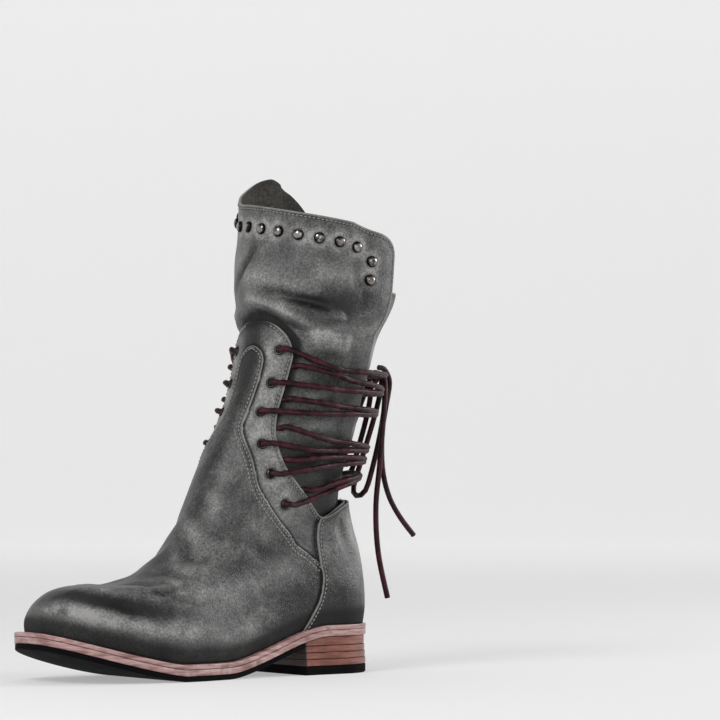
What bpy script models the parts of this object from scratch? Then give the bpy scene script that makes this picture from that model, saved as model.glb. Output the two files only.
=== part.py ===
"""A left mid-calf boot whose lace wraps round the back, built up piece by piece as a maker would.

Tables and sizes are in millimetres, and the scene is in metres. In the boot's own frame +X points
to the toe, +Y to the outer side of the foot and +Z up, with the floor at z = 0. x counts from the
back of the heel; the parent empty then puts the origin under the middle of the boot.
"""

import math

import bmesh
import bpy
import numpy as np
from mathutils import Matrix, Vector

MM = 0.001
GAP = 0.3

# Where the middle of the boot's box lies, counted from the back of the heel
BOX_MIDDLE_X = 120.8
BOX_MIDDLE_Y = -0.4

# Sole and heel
WELT_THICK = 3.0
MIDSOLE_THICK = 4.0
OUTSOLE_THICK = 3.5
INSOLE_THICK = 2.5
HEEL_SEAT = 33.0
FOREFOOT_TOP = OUTSOLE_THICK + GAP + MIDSOLE_THICK + GAP + WELT_THICK
ARCH_START = 45.0
ARCH_END = 136.0
SPRING_START = 173.0
SPRING_END = 268.0
SPRING_BEND = 1.27
TOE_SPRING = 23.6
HEEL_BREAST = 68.0
TOP_PIECE_THICK = 5.8
LIFT_COUNT = 4
LIFT_THICK = 4.2
LIFT_FLARE = 0.35

# Stations along the sole's plates
HEEL_ROUND = 34.0
TOE_ROUND = 222.0
STATION_PITCH = 11.75
END_STATIONS = 7

# Leather
UPPER_WALL = 2.2
QUARTER_STEP = 0.9
RECESS_REACH = 2.0
RECESS_ABOVE = (230.0, 242.0, 258.0)
FEATHER_CUTS = 2
COUNTER_THICK = 1.2
COUNTER_DROP = 0.4
COUNTER_REACH = 0.47
SHAFT_WALL = 1.6
GUSSET_WALL = 1.4

# Left-foot shape of the last
TOE_SWING = 5.0
BALL_SKEW = 9.0
WAIST_PINCH = 4.0
FOOT_ROWS = 7.0

# Share of a half ring that lies in its front cap, and where its back cap begins
FRONT_SHARE = 0.40
BACK_SHARE = 0.64

# Rings of the last and leg, from the feather line up: the ends of each ring on the centre line,
# its half widths, the lengths of its rounded ends, how square the toe is, and how far the ring
# follows the curve of the sole
LAST_COLUMNS = (
    "back_x", "back_z", "front_x", "front_z", "ball", "waist", "heel",
    "back_cap", "front_cap", "square", "cling",
)
LAST_ROWS = (
    (4.0, 33.4, 256.5, 31.6, 42.5, 31.5, 28.5, 30, 74, 2.6, 1.00),
    (3.0, 45.0, 257.0, 42.0, 45.5, 35.0, 31.0, 32, 76, 2.5, 1.00),
    (3.5, 58.0, 251.0, 52.5, 44.5, 35.5, 31.0, 32, 74, 2.4, 0.95),
    (5.0, 72.0, 239.0, 60.0, 40.5, 34.0, 29.5, 31, 68, 2.3, 0.80),
    (7.5, 85.0, 223.0, 62.5, 36.5, 32.5, 27.8, 30, 60, 2.2, 0.60),
    (11.0, 97.0, 203.0, 61.5, 34.0, 31.5, 26.3, 29, 52, 2.1, 0.40),
    (13.5, 107.0, 180.0, 67.0, 33.0, 31.0, 25.5, 28, 48, 2.0, 0.20),
    (15.0, 115.5, 158.5, 83.0, 32.5, 31.0, 25.5, 28, 46, 2.0, 0.00),
    (15.5, 123.0, 143.5, 105.0, 32.8, 31.5, 26.5, 29, 46, 2.0, 0.00),
    (14.0, 132.0, 132.5, 129.0, 34.0, 32.8, 28.5, 30, 47, 2.0, 0.00),
    (10.5, 144.0, 119.5, 155.0, 36.0, 35.0, 31.5, 32, 46, 2.0, 0.00),
    (4.5, 166.0, 104.0, 184.0, 39.0, 38.5, 36.0, 35, 44, 2.0, 0.00),
    (-4.5, 200.0, 94.5, 214.0, 42.5, 42.5, 41.0, 38, 42, 2.0, 0.00),
    (-12.0, 240.0, 89.0, 245.0, 46.0, 46.5, 46.0, 42, 43, 2.0, 0.00),
    (-17.0, 282.0, 86.0, 282.0, 49.0, 50.0, 49.0, 44, 44, 2.0, 0.00),
    (-19.5, 350.0, 83.5, 350.0, 51.5, 52.5, 51.5, 45, 45, 2.0, 0.00),
)
LEG_ROW = 6.0
TOP_ROW = len(LAST_ROWS) - 1.0
UPPER_TOP_ROW = 13.2

# How far the welt stands out from the feather line along the foot
MARGIN_COLUMNS = ("x", "margin")
MARGIN_ROWS = ((0.0, 3.6), (55.0, 4.0), (110.0, 4.6), (180.0, 5.8), (262.0, 7.0))

# The laced part of the leg is turned a little to the outer side: its middle there, as a turn, and
# the heights between which it comes round
LEG_TWIST = 0.036
TWIST_FROM = 110.0
TWIST_FULL = 160.0

# Edge of the outer side's laced opening, seen from the side: top line, then down the edge of the
# quarter and back along the top of the heel
OPENING_EDGE = (
    (110, 246), (97, 243), (90.5, 240.5), (84.5, 233.5), (80, 224.5), (78.5, 214), (81, 203),
    (84.5, 190), (90, 172), (91, 157), (85, 140), (72.5, 127), (57, 112.5), (49.5, 106), (43, 107),
    (32, 112.5), (15, 117), (-20, 121),
)
OPENING_EDGE_LOW = 49.5
# Reach of the cutters beyond the boot, and how far the two sides' cutters lap at the middle
CUT_BACK = -60.0
CUT_FRONT = 150.0
CUT_TOP = 400.0
CUT_HALF_WIDTH = 45.0
CUT_LAP = 0.1
CUT_HEEL_TOP = 130.0
# Seam where the vamp laps over the quarters: the top of its front strip, then down and back to the
# counter, by height and turn from the middle of the laced part
SEAM_COLUMNS = ("height", "turn")
SEAM_ROWS = (
    (221.0, 0.0), (219.5, 0.028), (216.0, 0.055), (211.0, 0.071), (198.0, 0.074), (184.0, 0.071),
    (168.0, 0.077), (158.0, 0.12), (145.0, 0.195), (124.5, 0.305), (109.0, 0.43), (95.0, 0.53),
    (83.0, 0.585), (74.0, 0.61),
)
SEAM_REAR = 0.74
# Front edge of the heel counter, from its top to the sole
COUNTER_EDGE = (
    (49.5, 107), (53, 101), (54.5, 89), (54, 76), (52.5, 65), (55.5, 52), (62, 40.5), (72, 24),
)

# Eyelets of the outer quarter, from the top
EYELET_PLACES = ((85, 217.5), (90.5, 195.5), (98, 176.5), (100.5, 155), (96, 135), (84, 114.5))
EYELET_RADIUS = 3.5
EYELET_BORE = 1.9
EYELET_BARREL = 2.5
EYELET_FLANGE = 0.8
EYELET_BEVEL = 0.6
EYELET_SEAT = 0.35
EYELET_BARREL_DEPTH = 1.2
EYELET_HOLE_DEPTH = 12.0
EYELET_SIDES = 8

# Shaft: the soft sleeve that stands inside the quarters and folds over their top
SHAFT_REAR = 0.75
SHAFT_COLUMNS = 25
COLLAR_CORNER = 17.0
# Length round the collar of one turn, that is of half its ring
LENGTH_OF_TURN = 150.0
# Edge of the collar by turn: its inner side stands higher than its outer side
COLLAR_COLUMNS = ("turn", "height")
COLLAR_ROWS = (
    (-0.80, 320.0), (-0.60, 334.0), (-0.40, 337.0), (-0.25, 326.0), (-0.12, 317.5), (0.0, 315.0),
    (0.20, 309.0), (0.40, 303.0), (0.60, 298.5), (0.80, 295.0),
)
# The rear of each flap stands away from the leg, towards the collar
FLAP_FLARE = 5.0
FLAP_FROM = 0.50
FLAP_FOOT = 215.0
FLAP_TOP = 260.0
# The hidden foot of the sleeve, lower at the back, is drawn in
HEM_FOOT = 102.0
HEM_FRONT_RISE = 55.0
HEM_FRONT_END = 0.15
HEM_REAR_FROM = 0.50
HEM_INSET = 1.6
HEM_INSET_TOP = 128.0
# Offset of the sleeve from the leg's surface by its height over the top line of the quarters
FOLD_COLUMNS = ("height", "front", "rear")
FOLD_ROWS = (
    (-60.0, 0.0, 0.0), (1.5, 0.0, 0.0), (6.0, 5.5, 1.5), (11.0, 9.5, 3.0), (19.0, 10.8, 3.8),
    (31.0, 9.8, 3.6), (47.0, 7.0, 3.0), (64.0, 5.2, 2.6), (95.0, 4.8, 2.6),
)
# Levels of the sleeve: share of the way from its hem to the fold, then from the fold to the collar
SHAFT_LEVELS = (
    (0.0, 0.0), (0.2, 0.0), (0.4, 0.0), (0.6, 0.0), (0.8, 0.0), (1.0, 0.0), (1.0, 0.02), (1.0, 0.08),
    (1.0, 0.15), (1.0, 0.25), (1.0, 0.40), (1.0, 0.58), (1.0, 0.76), (1.0, 0.88), (1.0, 0.95), (1.0, 1.0),
)
TOP_LINE_FRONT = 242.0
TOP_LINE_SIDE = 223.0
TOP_LINE_REACH = 0.30
# Turns from the front between which the fold passes from its front to its rear offset
FOLD_FRONT_END = 0.10
FOLD_REAR_FROM = 0.60

# Gusset: the lower panel at the back, under the lace
GUSSET_SHARE = 0.60
GUSSET_FOOT = 100.0
GUSSET_TOP = 258.0
GUSSET_FLARE = 12.0
GUSSET_FLARE_FROM = 0.785
GUSSET_FLARE_FULL = 0.92
GUSSET_FLARE_FOOT = 213.0

# Studs along the collar
STUD_RADIUS = 3.8
STUD_HEIGHT = 2.3
STUD_SIDES = 8
STUD_PITCH = 14.4
STUDS_BESIDE_FRONT = 6
STUD_BELOW_EDGE = 15.0
STUD_SHIFT = -4.5
# The two lower studs of each flap: drop below the collar and distance from the flap's rear edge
REAR_STUDS = ((20.5, 23.0), (33.0, 23.0))
STUD_SEAT = 0.5
STUD_RIM = 0.5

# Lace
LACE_RADIUS = 1.9
LACE_SIDES_RESOLUTION = 2
# Each crossing on the back, from the top, then the bar that carries the knot: its height there and
# the share of a strand over which it comes to that height
CROSSING_COLUMNS = ("height", "share")
CROSSING_ROWS = ((191.0, 0.24), (177.0, 0.12), (153.0, 0.10), (146.0, 0.22), (137.0, 0.34))
TOP_BAR_ROW = (203.0, 0.08)
# A strand leaves an eyelet, or slips under the quarter's edge, this many turns behind it
MOUTH_TURN = 0.045
EDGE_TURN = 0.115
EDGE_DROP = 11.0
LACE_LIFT = 1.7
LACE_LIFT_SHARE = 0.12
LACE_SLACK = 5.0
LACE_SLACK_FROM = 0.55
CROSSING_STEPS = 5
KNOT_SIZE = (8.0, 12.0, 10.0)
KNOT_SIDE = 6.0
# Free parts of the lace, as points counted from the middle of the knot
OUTER_LOOP = (
    (-5.9, 2, -0.5), (-6, 6.5, -11), (3, 9, -32), (10, 9.5, -60), (16, 9.5, -75), (20, 6, -83),
    (17, 2.5, -76), (11, 2, -60), (2.5, 2, -34), (-5, -1, -13), (-7.5, -2.5, -2),
)
INNER_LOOP = (
    (-2, -7.6, 0.5), (0, -14, -9), (5, -17, -30), (10, -19, -56), (15, -19, -68), (17, -15, -73),
    (12, -12.5, -59), (5, -11, -32), (0, -10, -14), (-3, -8.7, -5.5),
)
LONG_END = (
    (-1.5, 7.4, -1), (2, 13.5, -10), (5, 15.5, -30), (8, 15.5, -60), (11, 15, -90), (9, 15, -121),
    (1, 15, -152),
)
SHORT_END = (
    (-3.5, -1, 6), (-9, -1.2, 4.5), (-13.5, -1.5, -4), (-11, -2, -20), (-8, -2.5, -38), (-8, -2.5, -62),
    (-13, -2.5, -81), (-22, -2, -96), (-35, -2, -110),
)
FREE_LACE = (
    ("lace_loop_outer", OUTER_LOOP, 26), ("lace_loop_inner", INNER_LOOP, 23),
    ("lace_end_long", LONG_END, 16), ("lace_end_short", SHORT_END, 16),
)

LEATHER_GREY = (0.085, 0.088, 0.086)
WELT_BROWN = (0.36, 0.185, 0.145)
HEEL_BROWN = (0.31, 0.125, 0.075)
RUBBER_BLACK = (0.012, 0.012, 0.015)
INSOLE_TAN = (0.30, 0.21, 0.13)
LACE_BROWN = (0.030, 0.012, 0.013)
DARK_METAL = (0.16, 0.15, 0.14)


def smooth(share):
    """Eases from 0 to 1 as share does."""
    share = np.clip(share, 0.0, 1.0)
    return share * share * (3.0 - 2.0 * share)


def table_value(rows, index, position):
    """Smooth value of one column at a position counted in rows."""
    values = np.array([row[index] for row in rows], float)
    position = np.clip(np.asarray(position, float), 0.0, len(values) - 1.0)
    low = np.clip(position.astype(int), 0, len(values) - 2)
    t = position - low
    before = values[np.maximum(low - 1, 0)]
    start, end = values[low], values[low + 1]
    after = values[np.minimum(low + 2, len(values) - 1)]
    slope_in, slope_out = (end - before) / 2.0, (after - start) / 2.0
    return (
        start * (2 * t**3 - 3 * t**2 + 1)
        + slope_in * (t**3 - 2 * t**2 + t)
        + end * (3 * t**2 - 2 * t**3)
        + slope_out * (t**3 - t**2)
    )


def last_value(name, row):
    return table_value(LAST_ROWS, LAST_COLUMNS.index(name), row)


def smooth_line(points, count):
    """Points spaced by row along a smooth curve through the points given."""
    position = np.linspace(0.0, len(points) - 1.0, count)
    return np.stack([table_value(points, axis, position) for axis in range(len(points[0]))], axis=-1)


def sole_top(x):
    """Height of the welt's upper face: heel seat, arch, tread and toe spring."""
    arch = 1.0 - smooth((x - ARCH_START) / (ARCH_END - ARCH_START))
    spring = np.clip((x - SPRING_START) / (SPRING_END - SPRING_START), 0.0, None) ** SPRING_BEND
    return FOREFOOT_TOP + (HEEL_SEAT - FOREFOOT_TOP) * arch + TOE_SPRING * spring


def leg_point(row, turn):
    """Point of the boot's outer form. turn runs from 0 at the toe to 1 at the heel, minus on the inner side."""
    row, turn = np.broadcast_arrays(np.asarray(row, float), np.asarray(turn, float))
    side = np.where(turn >= 0.0, 1.0, -1.0)
    share = np.abs(turn)
    foot = np.clip(1.0 - row / FOOT_ROWS, 0.0, 1.0)
    front_x, back_x = last_value("front_x", row), last_value("back_x", row)
    front_cap = last_value("front_cap", row) + side * BALL_SKEW * foot
    back_cap = last_value("back_cap", row)
    ball_x, heel_x = front_x - front_cap, back_x + back_cap

    front_angle = np.cos(0.5 * math.pi * np.clip(share / FRONT_SHARE, 0.0, 1.0))
    back_angle = np.cos(0.5 * math.pi * np.clip((1.0 - share) / (1.0 - BACK_SHARE), 0.0, 1.0))
    along = np.clip((share - FRONT_SHARE) / (BACK_SHARE - FRONT_SHARE), 0.0, 1.0)
    x = ball_x + (heel_x - ball_x) * along + front_cap * front_angle - back_cap * back_angle

    ball, heel = last_value("ball", row), last_value("heel", row)
    waist = last_value("waist", row) - WAIST_PINCH * foot * (side < 0.0)
    width = ball + (waist - ball) * smooth(2.0 * along) + (heel - waist) * smooth(2.0 * along - 1.0)
    square = last_value("square", row)
    round_front = np.clip(1.0 - front_angle**square, 0.0, 1.0) ** (1.0 / square)
    round_back = np.sqrt(np.clip(1.0 - back_angle**2, 0.0, 1.0))
    swing = TOE_SWING * foot * smooth((x - ARCH_END) / (SPRING_END - ARCH_END))
    y = side * width * round_front * round_back - swing

    cling = last_value("cling", row)
    share_x = (x - back_x) / (front_x - back_x)
    back_rise = last_value("back_z", row) - cling * sole_top(back_x)
    front_rise = last_value("front_z", row) - cling * sole_top(front_x)
    z = cling * sole_top(x) + back_rise * (1.0 - share_x) + front_rise * share_x
    return np.stack([x, y, z], axis=-1)


def wrapped(turn):
    """turn brought back between -1 and 1."""
    return (np.asarray(turn, float) + 1.0) % 2.0 - 1.0


def leg_normal(row, turn):
    """Outward normal of the boot's form."""
    step = 0.004
    row, turn = np.broadcast_arrays(np.asarray(row, float), np.asarray(turn, float))
    around = leg_point(row, wrapped(turn + step)) - leg_point(row, wrapped(turn - step))
    up = leg_point(np.minimum(row + step, TOP_ROW), turn) - leg_point(np.maximum(row - step, 0.0), turn)
    normal = np.cross(around, up)
    return normal / np.linalg.norm(normal, axis=-1, keepdims=True)


def leg_surface(row, turn, offset=0.0):
    """Point at a distance outside the boot's form."""
    offset = np.asarray(offset, float)[..., None]
    return leg_point(row, turn) + leg_normal(row, turn) * offset


def row_at_height(z, turn, low=LEG_ROW):
    """Ring that passes a height at one turn, on the leg."""
    z, turn = np.broadcast_arrays(np.asarray(z, float), np.asarray(turn, float))
    under, over = np.full(z.shape, low), np.full(z.shape, TOP_ROW)
    for _ in range(40):
        middle = 0.5 * (under + over)
        below = leg_point(middle, turn)[..., 2] < z
        under, over = np.where(below, middle, under), np.where(below, over, middle)
    return 0.5 * (under + over)


def turn_at(x, z, side, low=0.0):
    """Turn and ring of each point of one side that is seen at (x, z) from that side."""
    x, z = np.asarray(x, float), np.asarray(z, float)
    front, back = np.zeros(x.shape), np.ones(x.shape)
    for _ in range(40):
        turn = 0.5 * (front + back)
        row = row_at_height(z, side * turn, low)
        ahead = leg_point(row, side * turn)[..., 0] > x
        front, back = np.where(ahead, turn, front), np.where(ahead, back, turn)
    return np.stack([side * turn, row], axis=-1)


def leg_middle(z):
    """Turn of the middle of the laced part at a height."""
    return LEG_TWIST * smooth((z - TWIST_FROM) / (TWIST_FULL - TWIST_FROM))


# Blender helpers


def new_collection(name):
    collection = bpy.data.collections.new(name)
    bpy.context.scene.collection.children.link(collection)
    return collection


def finish_of(name, colour, roughness, metallic=0.0):
    material = bpy.data.materials.new(name)
    material.use_nodes = True
    shader = material.node_tree.nodes["Principled BSDF"]
    shader.inputs["Base Color"].default_value = (*colour, 1.0)
    shader.inputs["Roughness"].default_value = roughness
    shader.inputs["Metallic"].default_value = metallic
    return material


def add_object(name, data, collection, root, material=None):
    """Object in the boot's frame. Data already holds its place, in metres."""
    obj = bpy.data.objects.new(name, data)
    collection.objects.link(obj)
    obj.parent = root
    if material:
        obj.data.materials.clear()
        obj.data.materials.append(material)
    return obj


def as_cutter(obj):
    obj.hide_render = True
    obj.display_type = "WIRE"
    return obj


def mesh_of(name, points, faces, smooth_angle=40.0):
    mesh = bpy.data.meshes.new(name)
    mesh.from_pydata([tuple(p) for p in np.asarray(points, float) * MM], [], faces)
    mesh.validate()
    mesh.shade_smooth()
    mesh.set_sharp_from_angle(angle=math.radians(smooth_angle))
    return mesh


def sheet_mesh(name, grid, closed):
    """Surface through a grid of points, rows going up and columns going round."""
    rows, columns = grid.shape[:2]
    faces = []
    for r in range(rows - 1):
        for c in range(columns if closed else columns - 1):
            after = (c + 1) % columns
            low, high = r * columns, (r + 1) * columns
            faces.append((low + c, low + after, high + after, high + c))
    return mesh_of(name, grid.reshape(-1, 3), faces)


def thicken(obj, thickness):
    """Gives a surface a wall on its inner side."""
    wall = obj.modifiers.new("wall", "SOLIDIFY")
    wall.thickness = thickness * MM
    wall.offset = -1.0
    wall.use_even_offset = True
    wall.use_quality_normals = True


def cut_by(obj, name, cutter, operation="DIFFERENCE"):
    boolean = obj.modifiers.new(name, "BOOLEAN")
    boolean.operation = operation
    if isinstance(cutter, bpy.types.Collection):
        boolean.operand_type = "COLLECTION"
        boolean.collection = cutter
    else:
        boolean.object = cutter


def mesh_from(obj):
    """Mesh of an object as its modifiers or bevel leave it, with its seams welded."""
    bpy.context.view_layer.update()
    graph = bpy.context.evaluated_depsgraph_get()
    mesh = bpy.data.meshes.new_from_object(obj.evaluated_get(graph))
    shape = bmesh.new()
    shape.from_mesh(mesh)
    bmesh.ops.remove_doubles(shape, verts=shape.verts, dist=1e-6)
    bmesh.ops.recalc_face_normals(shape, faces=shape.faces)
    shape.to_mesh(mesh)
    shape.free()
    bpy.data.objects.remove(obj)
    mesh.shade_smooth()
    mesh.set_sharp_from_angle(angle=math.radians(40.0))
    return mesh


def side_prism(name, outline, half_width):
    """Outline seen from the side, carried through the whole width of the boot, as a mesh."""
    curve = bpy.data.curves.new(name, "CURVE")
    curve.dimensions = "2D"
    curve.fill_mode = "BOTH"
    curve.extrude = half_width * MM
    spline = curve.splines.new("POLY")
    spline.points.add(len(outline) - 1)
    for point, (x, z) in zip(spline.points, outline):
        point.co = (x * MM, z * MM, 0.0, 1.0)
    spline.use_cyclic_u = True
    holder = bpy.data.objects.new(name, curve)
    bpy.context.scene.collection.objects.link(holder)
    mesh = mesh_from(holder)
    mesh.transform(Matrix.Rotation(0.5 * math.pi, 4, "X"))
    return mesh


def turned_mesh(name, profile, sides):
    """Profile of (radius, height) points, run down its outer side, turned about Z."""
    mesh = bpy.data.meshes.new(name)
    edges = [(k, k + 1) for k in range(len(profile) - 1)]
    mesh.from_pydata([(r * MM, 0.0, z * MM) for r, z in profile], edges, [])
    holder = bpy.data.objects.new(name, mesh)
    bpy.context.scene.collection.objects.link(holder)
    screw = holder.modifiers.new("turn", "SCREW")
    screw.steps = sides
    screw.render_steps = sides
    screw.use_merge_vertices = True
    screw.merge_threshold = 1e-6
    return mesh_from(holder)


def tube_curve(name, points):
    """Lace along a line of points, with closed ends."""
    curve = bpy.data.curves.new(name, "CURVE")
    curve.dimensions = "3D"
    curve.bevel_depth = LACE_RADIUS * MM
    curve.bevel_resolution = LACE_SIDES_RESOLUTION
    curve.use_fill_caps = True
    spline = curve.splines.new("POLY")
    spline.points.add(len(points) - 1)
    for point, place in zip(spline.points, np.asarray(points) * MM):
        point.co = (*place, 1.0)
    return curve


def tube_mesh(name, points):
    holder = bpy.data.objects.new(name, tube_curve(name, points))
    bpy.context.scene.collection.objects.link(holder)
    return mesh_from(holder)


def facing(place, normal):
    """Matrix that stands a turned piece on a surface, its axis along the normal."""
    turn = Vector(normal).to_track_quat("Z", "Y").to_matrix().to_4x4()
    return Matrix.Translation(Vector(place) * MM) @ turn


# Sole and heel


def sole_edge(inset, count=120):
    """Outline of the sole, drawn in by inset: x, outer y and inner y, each from heel to toe."""
    margin_x = [row[0] for row in MARGIN_ROWS]
    margin_y = [row[1] for row in MARGIN_ROWS]
    turns = np.linspace(0.0, 1.0, count)
    sides = []
    for side in (1.0, -1.0):
        line = leg_point(0.0, side * turns)[:, :2]
        around = leg_point(0.0, wrapped(side * turns + 0.002)) - leg_point(0.0, wrapped(side * turns - 0.002))
        normal = np.stack([around[:, 1], -around[:, 0]], axis=-1)
        normal /= np.linalg.norm(normal, axis=-1, keepdims=True)
        margin = np.interp(line[:, 0], margin_x, margin_y) - inset
        sides.append((line + normal * margin[:, None])[::-1])
    return sides


def sole_widths(x, inset):
    """Outer and inner y of the sole's outline at each x."""
    return [np.interp(x, line[:, 0], line[:, 1]) for line in sole_edge(inset)]


def plate_stations(low, high, round_heel, round_toe):
    """Stations along a plate: shared ones down its middle, closer ones round its ends."""
    middle = np.arange(HEEL_ROUND, TOE_ROUND + 1.0, STATION_PITCH)
    middle = middle[(middle > low + 4.0) & (middle < high - 4.0)]
    ease = 1.0 - np.cos(np.linspace(0.0, 0.5 * math.pi, END_STATIONS))[:-1]
    heel = low + (middle[0] - low) * ease if round_heel else [low]
    toe = high - (high - middle[-1]) * ease[::-1] if round_toe else [high]
    return np.concatenate([heel, middle, toe])


def plate_mesh(name, levels, start=None, stop=None):
    """Solid between levels, from the top down. Each level has a height function and an inset.

    start and stop cut the plate straight across; without them it runs round the heel or the toe.
    """
    rings = []
    for height, inset in levels:
        line = sole_edge(inset)[0]
        low = line[0, 0] if start is None else start
        high = line[-1, 0] if stop is None else stop
        x = plate_stations(low, high, start is None, stop is None)
        outer, inner = sole_widths(x, inset)
        z = height(x)
        rings.append((np.stack([x, outer, z], -1), np.stack([x, inner, z], -1)))
    count = len(x)

    points, index = [], []
    for outer, inner in rings:
        numbers = []
        for k in range(count):
            pair = []
            for line in (outer, inner):
                if pair and np.linalg.norm(line[k] - points[pair[0]]) < 0.05:
                    pair.append(pair[0])
                    continue
                points.append(line[k])
                pair.append(len(points) - 1)
            numbers.append(pair)
        index.append(numbers)

    faces = []

    def add(*corners):
        kept = [c for n, c in enumerate(corners) if c != corners[n - 1]]
        if len(kept) > 2:
            faces.append(tuple(kept))

    top, bottom = index[0], index[-1]
    for k in range(count - 1):
        add(top[k][0], top[k][1], top[k + 1][1], top[k + 1][0])
        add(bottom[k][1], bottom[k][0], bottom[k + 1][0], bottom[k + 1][1])
    for upper, lower in zip(index, index[1:]):
        for k in range(count - 1):
            add(upper[k + 1][0], lower[k + 1][0], lower[k][0], upper[k][0])
            add(upper[k][1], lower[k][1], lower[k + 1][1], upper[k + 1][1])
        add(upper[0][0], lower[0][0], lower[0][1], upper[0][1])
        add(upper[-1][1], lower[-1][1], lower[-1][0], upper[-1][0])
    return mesh_of(name, points, faces, smooth_angle=35.0)


def under_top(depth):
    """Height function a set depth below the welt's upper face."""
    return lambda x: sole_top(x) - depth


def level(height):
    return lambda x: np.full_like(x, height)


def build_sole(parts, root, finishes):
    """Outsole, midsole, welt and insole, each a plate bent to the curve of the last."""
    midsole_top = WELT_THICK + GAP
    outsole_top = midsole_top + MIDSOLE_THICK + GAP
    plates = {
        "welt": (((under_top(0.0), 0.5), (under_top(0.7), 0.0), (under_top(WELT_THICK), 0.3)), "welt"),
        "midsole": (
            (
                (under_top(midsole_top), 0.6),
                (under_top(midsole_top + 1.0), 0.1),
                (under_top(midsole_top + MIDSOLE_THICK), 0.5),
            ),
            "welt",
        ),
    }
    for name, (levels, finish) in plates.items():
        add_object(name, plate_mesh(name, levels), parts, root, finishes[finish])
    outsole = (
        (under_top(outsole_top), 0.6),
        (under_top(outsole_top + OUTSOLE_THICK - 1.0), 0.8),
        (under_top(outsole_top + OUTSOLE_THICK), 1.8),
    )
    mesh = plate_mesh("outsole", outsole, start=HEEL_BREAST + GAP)
    add_object("outsole", mesh, parts, root, finishes["rubber"])
    inside = MARGIN_ROWS[-1][1] + UPPER_WALL + 1.0
    insole = ((under_top(-GAP - INSOLE_THICK), inside), (under_top(-GAP), inside))
    add_object("insole", plate_mesh("insole", insole), parts, root, finishes["insole"])


def build_heel(parts, root, finishes):
    """Top piece on the floor, leather lifts above it and a wedge that meets the heel seat."""
    seat = WELT_THICK + GAP + MIDSOLE_THICK + GAP
    top_piece = ((level(TOP_PIECE_THICK), 0.2), (level(0.8), 0.2), (level(0.0), 0.9))
    mesh = plate_mesh("heel_top_piece", top_piece, stop=HEEL_BREAST)
    add_object("heel_top_piece", mesh, parts, root, finishes["rubber"])
    floor = TOP_PIECE_THICK + GAP
    for number in range(LIFT_COUNT, 0, -1):
        inset = 0.25 + LIFT_FLARE * (LIFT_COUNT - number)
        top = under_top(seat) if number == 1 else level(floor + LIFT_THICK)
        levels = ((top, inset + 0.25), (level(floor + 0.5 * LIFT_THICK), inset), (level(floor), inset + 0.25))
        name = f"heel_lift_{number}"
        mesh = plate_mesh(name, levels, stop=HEEL_BREAST)
        add_object(name, mesh, parts, root, finishes["heel"])
        floor += LIFT_THICK + GAP


# Upper


def leg_grid(rows, turns, offset=0.0):
    row, turn = np.meshgrid(rows, turns, indexing="ij")
    return leg_surface(row, turn, np.broadcast_to(offset, row.shape))


def opening_edge(side):
    """Laced edge of one side, seen from that side."""
    edge = smooth_line(OPENING_EDGE, 3 * len(OPENING_EDGE) - 2)
    if side > 0:
        return edge
    x, z = edge.T
    turn = turn_at(x, z, 1.0, 2.0)[:, 0]
    turn = 2.0 * leg_middle(z) - turn
    mirrored = leg_point(row_at_height(z, turn, 2.0), turn)[:, 0]
    on_leg = (x < OPENING_EDGE[1][0]) & (x > OPENING_EDGE_LOW) & (z > TWIST_FROM)
    return np.stack([np.where(on_leg, mirrored, x), z], axis=-1)


def opening_prism(name, side):
    """Everything behind and above the laced edge of the upper, on one side."""
    edge = [tuple(p) for p in opening_edge(side)]
    back, front = CUT_BACK, CUT_FRONT
    outline = [*edge, (back, edge[-1][1]), (back, CUT_TOP), (front, CUT_TOP), (front, edge[0][1])]
    mesh = side_prism(name, outline, CUT_HALF_WIDTH)
    mesh.transform(Matrix.Translation((0.0, side * (CUT_HALF_WIDTH - CUT_LAP) * MM, 0.0)))
    return mesh


def stand_on_welt(mesh, columns):
    """Gives the lowest edge of a sheet closer points and stands them on the welt."""
    shape = bmesh.new()
    shape.from_mesh(mesh)
    count = len(shape.verts)
    low = [edge for edge in shape.edges if max(vert.index for vert in edge.verts) < columns]
    bmesh.ops.subdivide_edges(shape, edges=low, cuts=FEATHER_CUTS)
    shape.verts.index_update()
    for vert in shape.verts:
        if vert.index < columns or vert.index >= count:
            vert.co.z = (sole_top(vert.co.x / MM) + GAP) * MM
    shape.to_mesh(mesh)
    shape.free()


def quarter_recess(name):
    """Layer cut away beside and above the vamp, so that the vamp's edge stands above the quarters."""
    seam = smooth_line(SEAM_ROWS, 21)[::-1]
    above = [(height, 0.0) for height in RECESS_ABOVE]
    seam = np.concatenate([seam, above])
    height = seam[:, :1]
    shell = bmesh.new()
    for side in (1.0, -1.0):
        share = np.linspace(0.0, 1.0, 8) if side > 0 else np.linspace(1.0, 0.0, 8)
        turn = leg_middle(height) + side * (seam[:, 1:] + (SEAM_REAR - seam[:, 1:]) * share)
        row = row_at_height(np.broadcast_to(height, turn.shape), turn, 2.0)
        sheet = sheet_mesh(name, leg_surface(row, turn, np.full(turn.shape, RECESS_REACH)), closed=False)
        shell.from_mesh(sheet)
        bpy.data.meshes.remove(sheet)
    bmesh.ops.remove_doubles(shell, verts=shell.verts, dist=1e-6)
    mesh = bpy.data.meshes.new(name)
    shell.to_mesh(mesh)
    shell.free()
    return mesh


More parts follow.
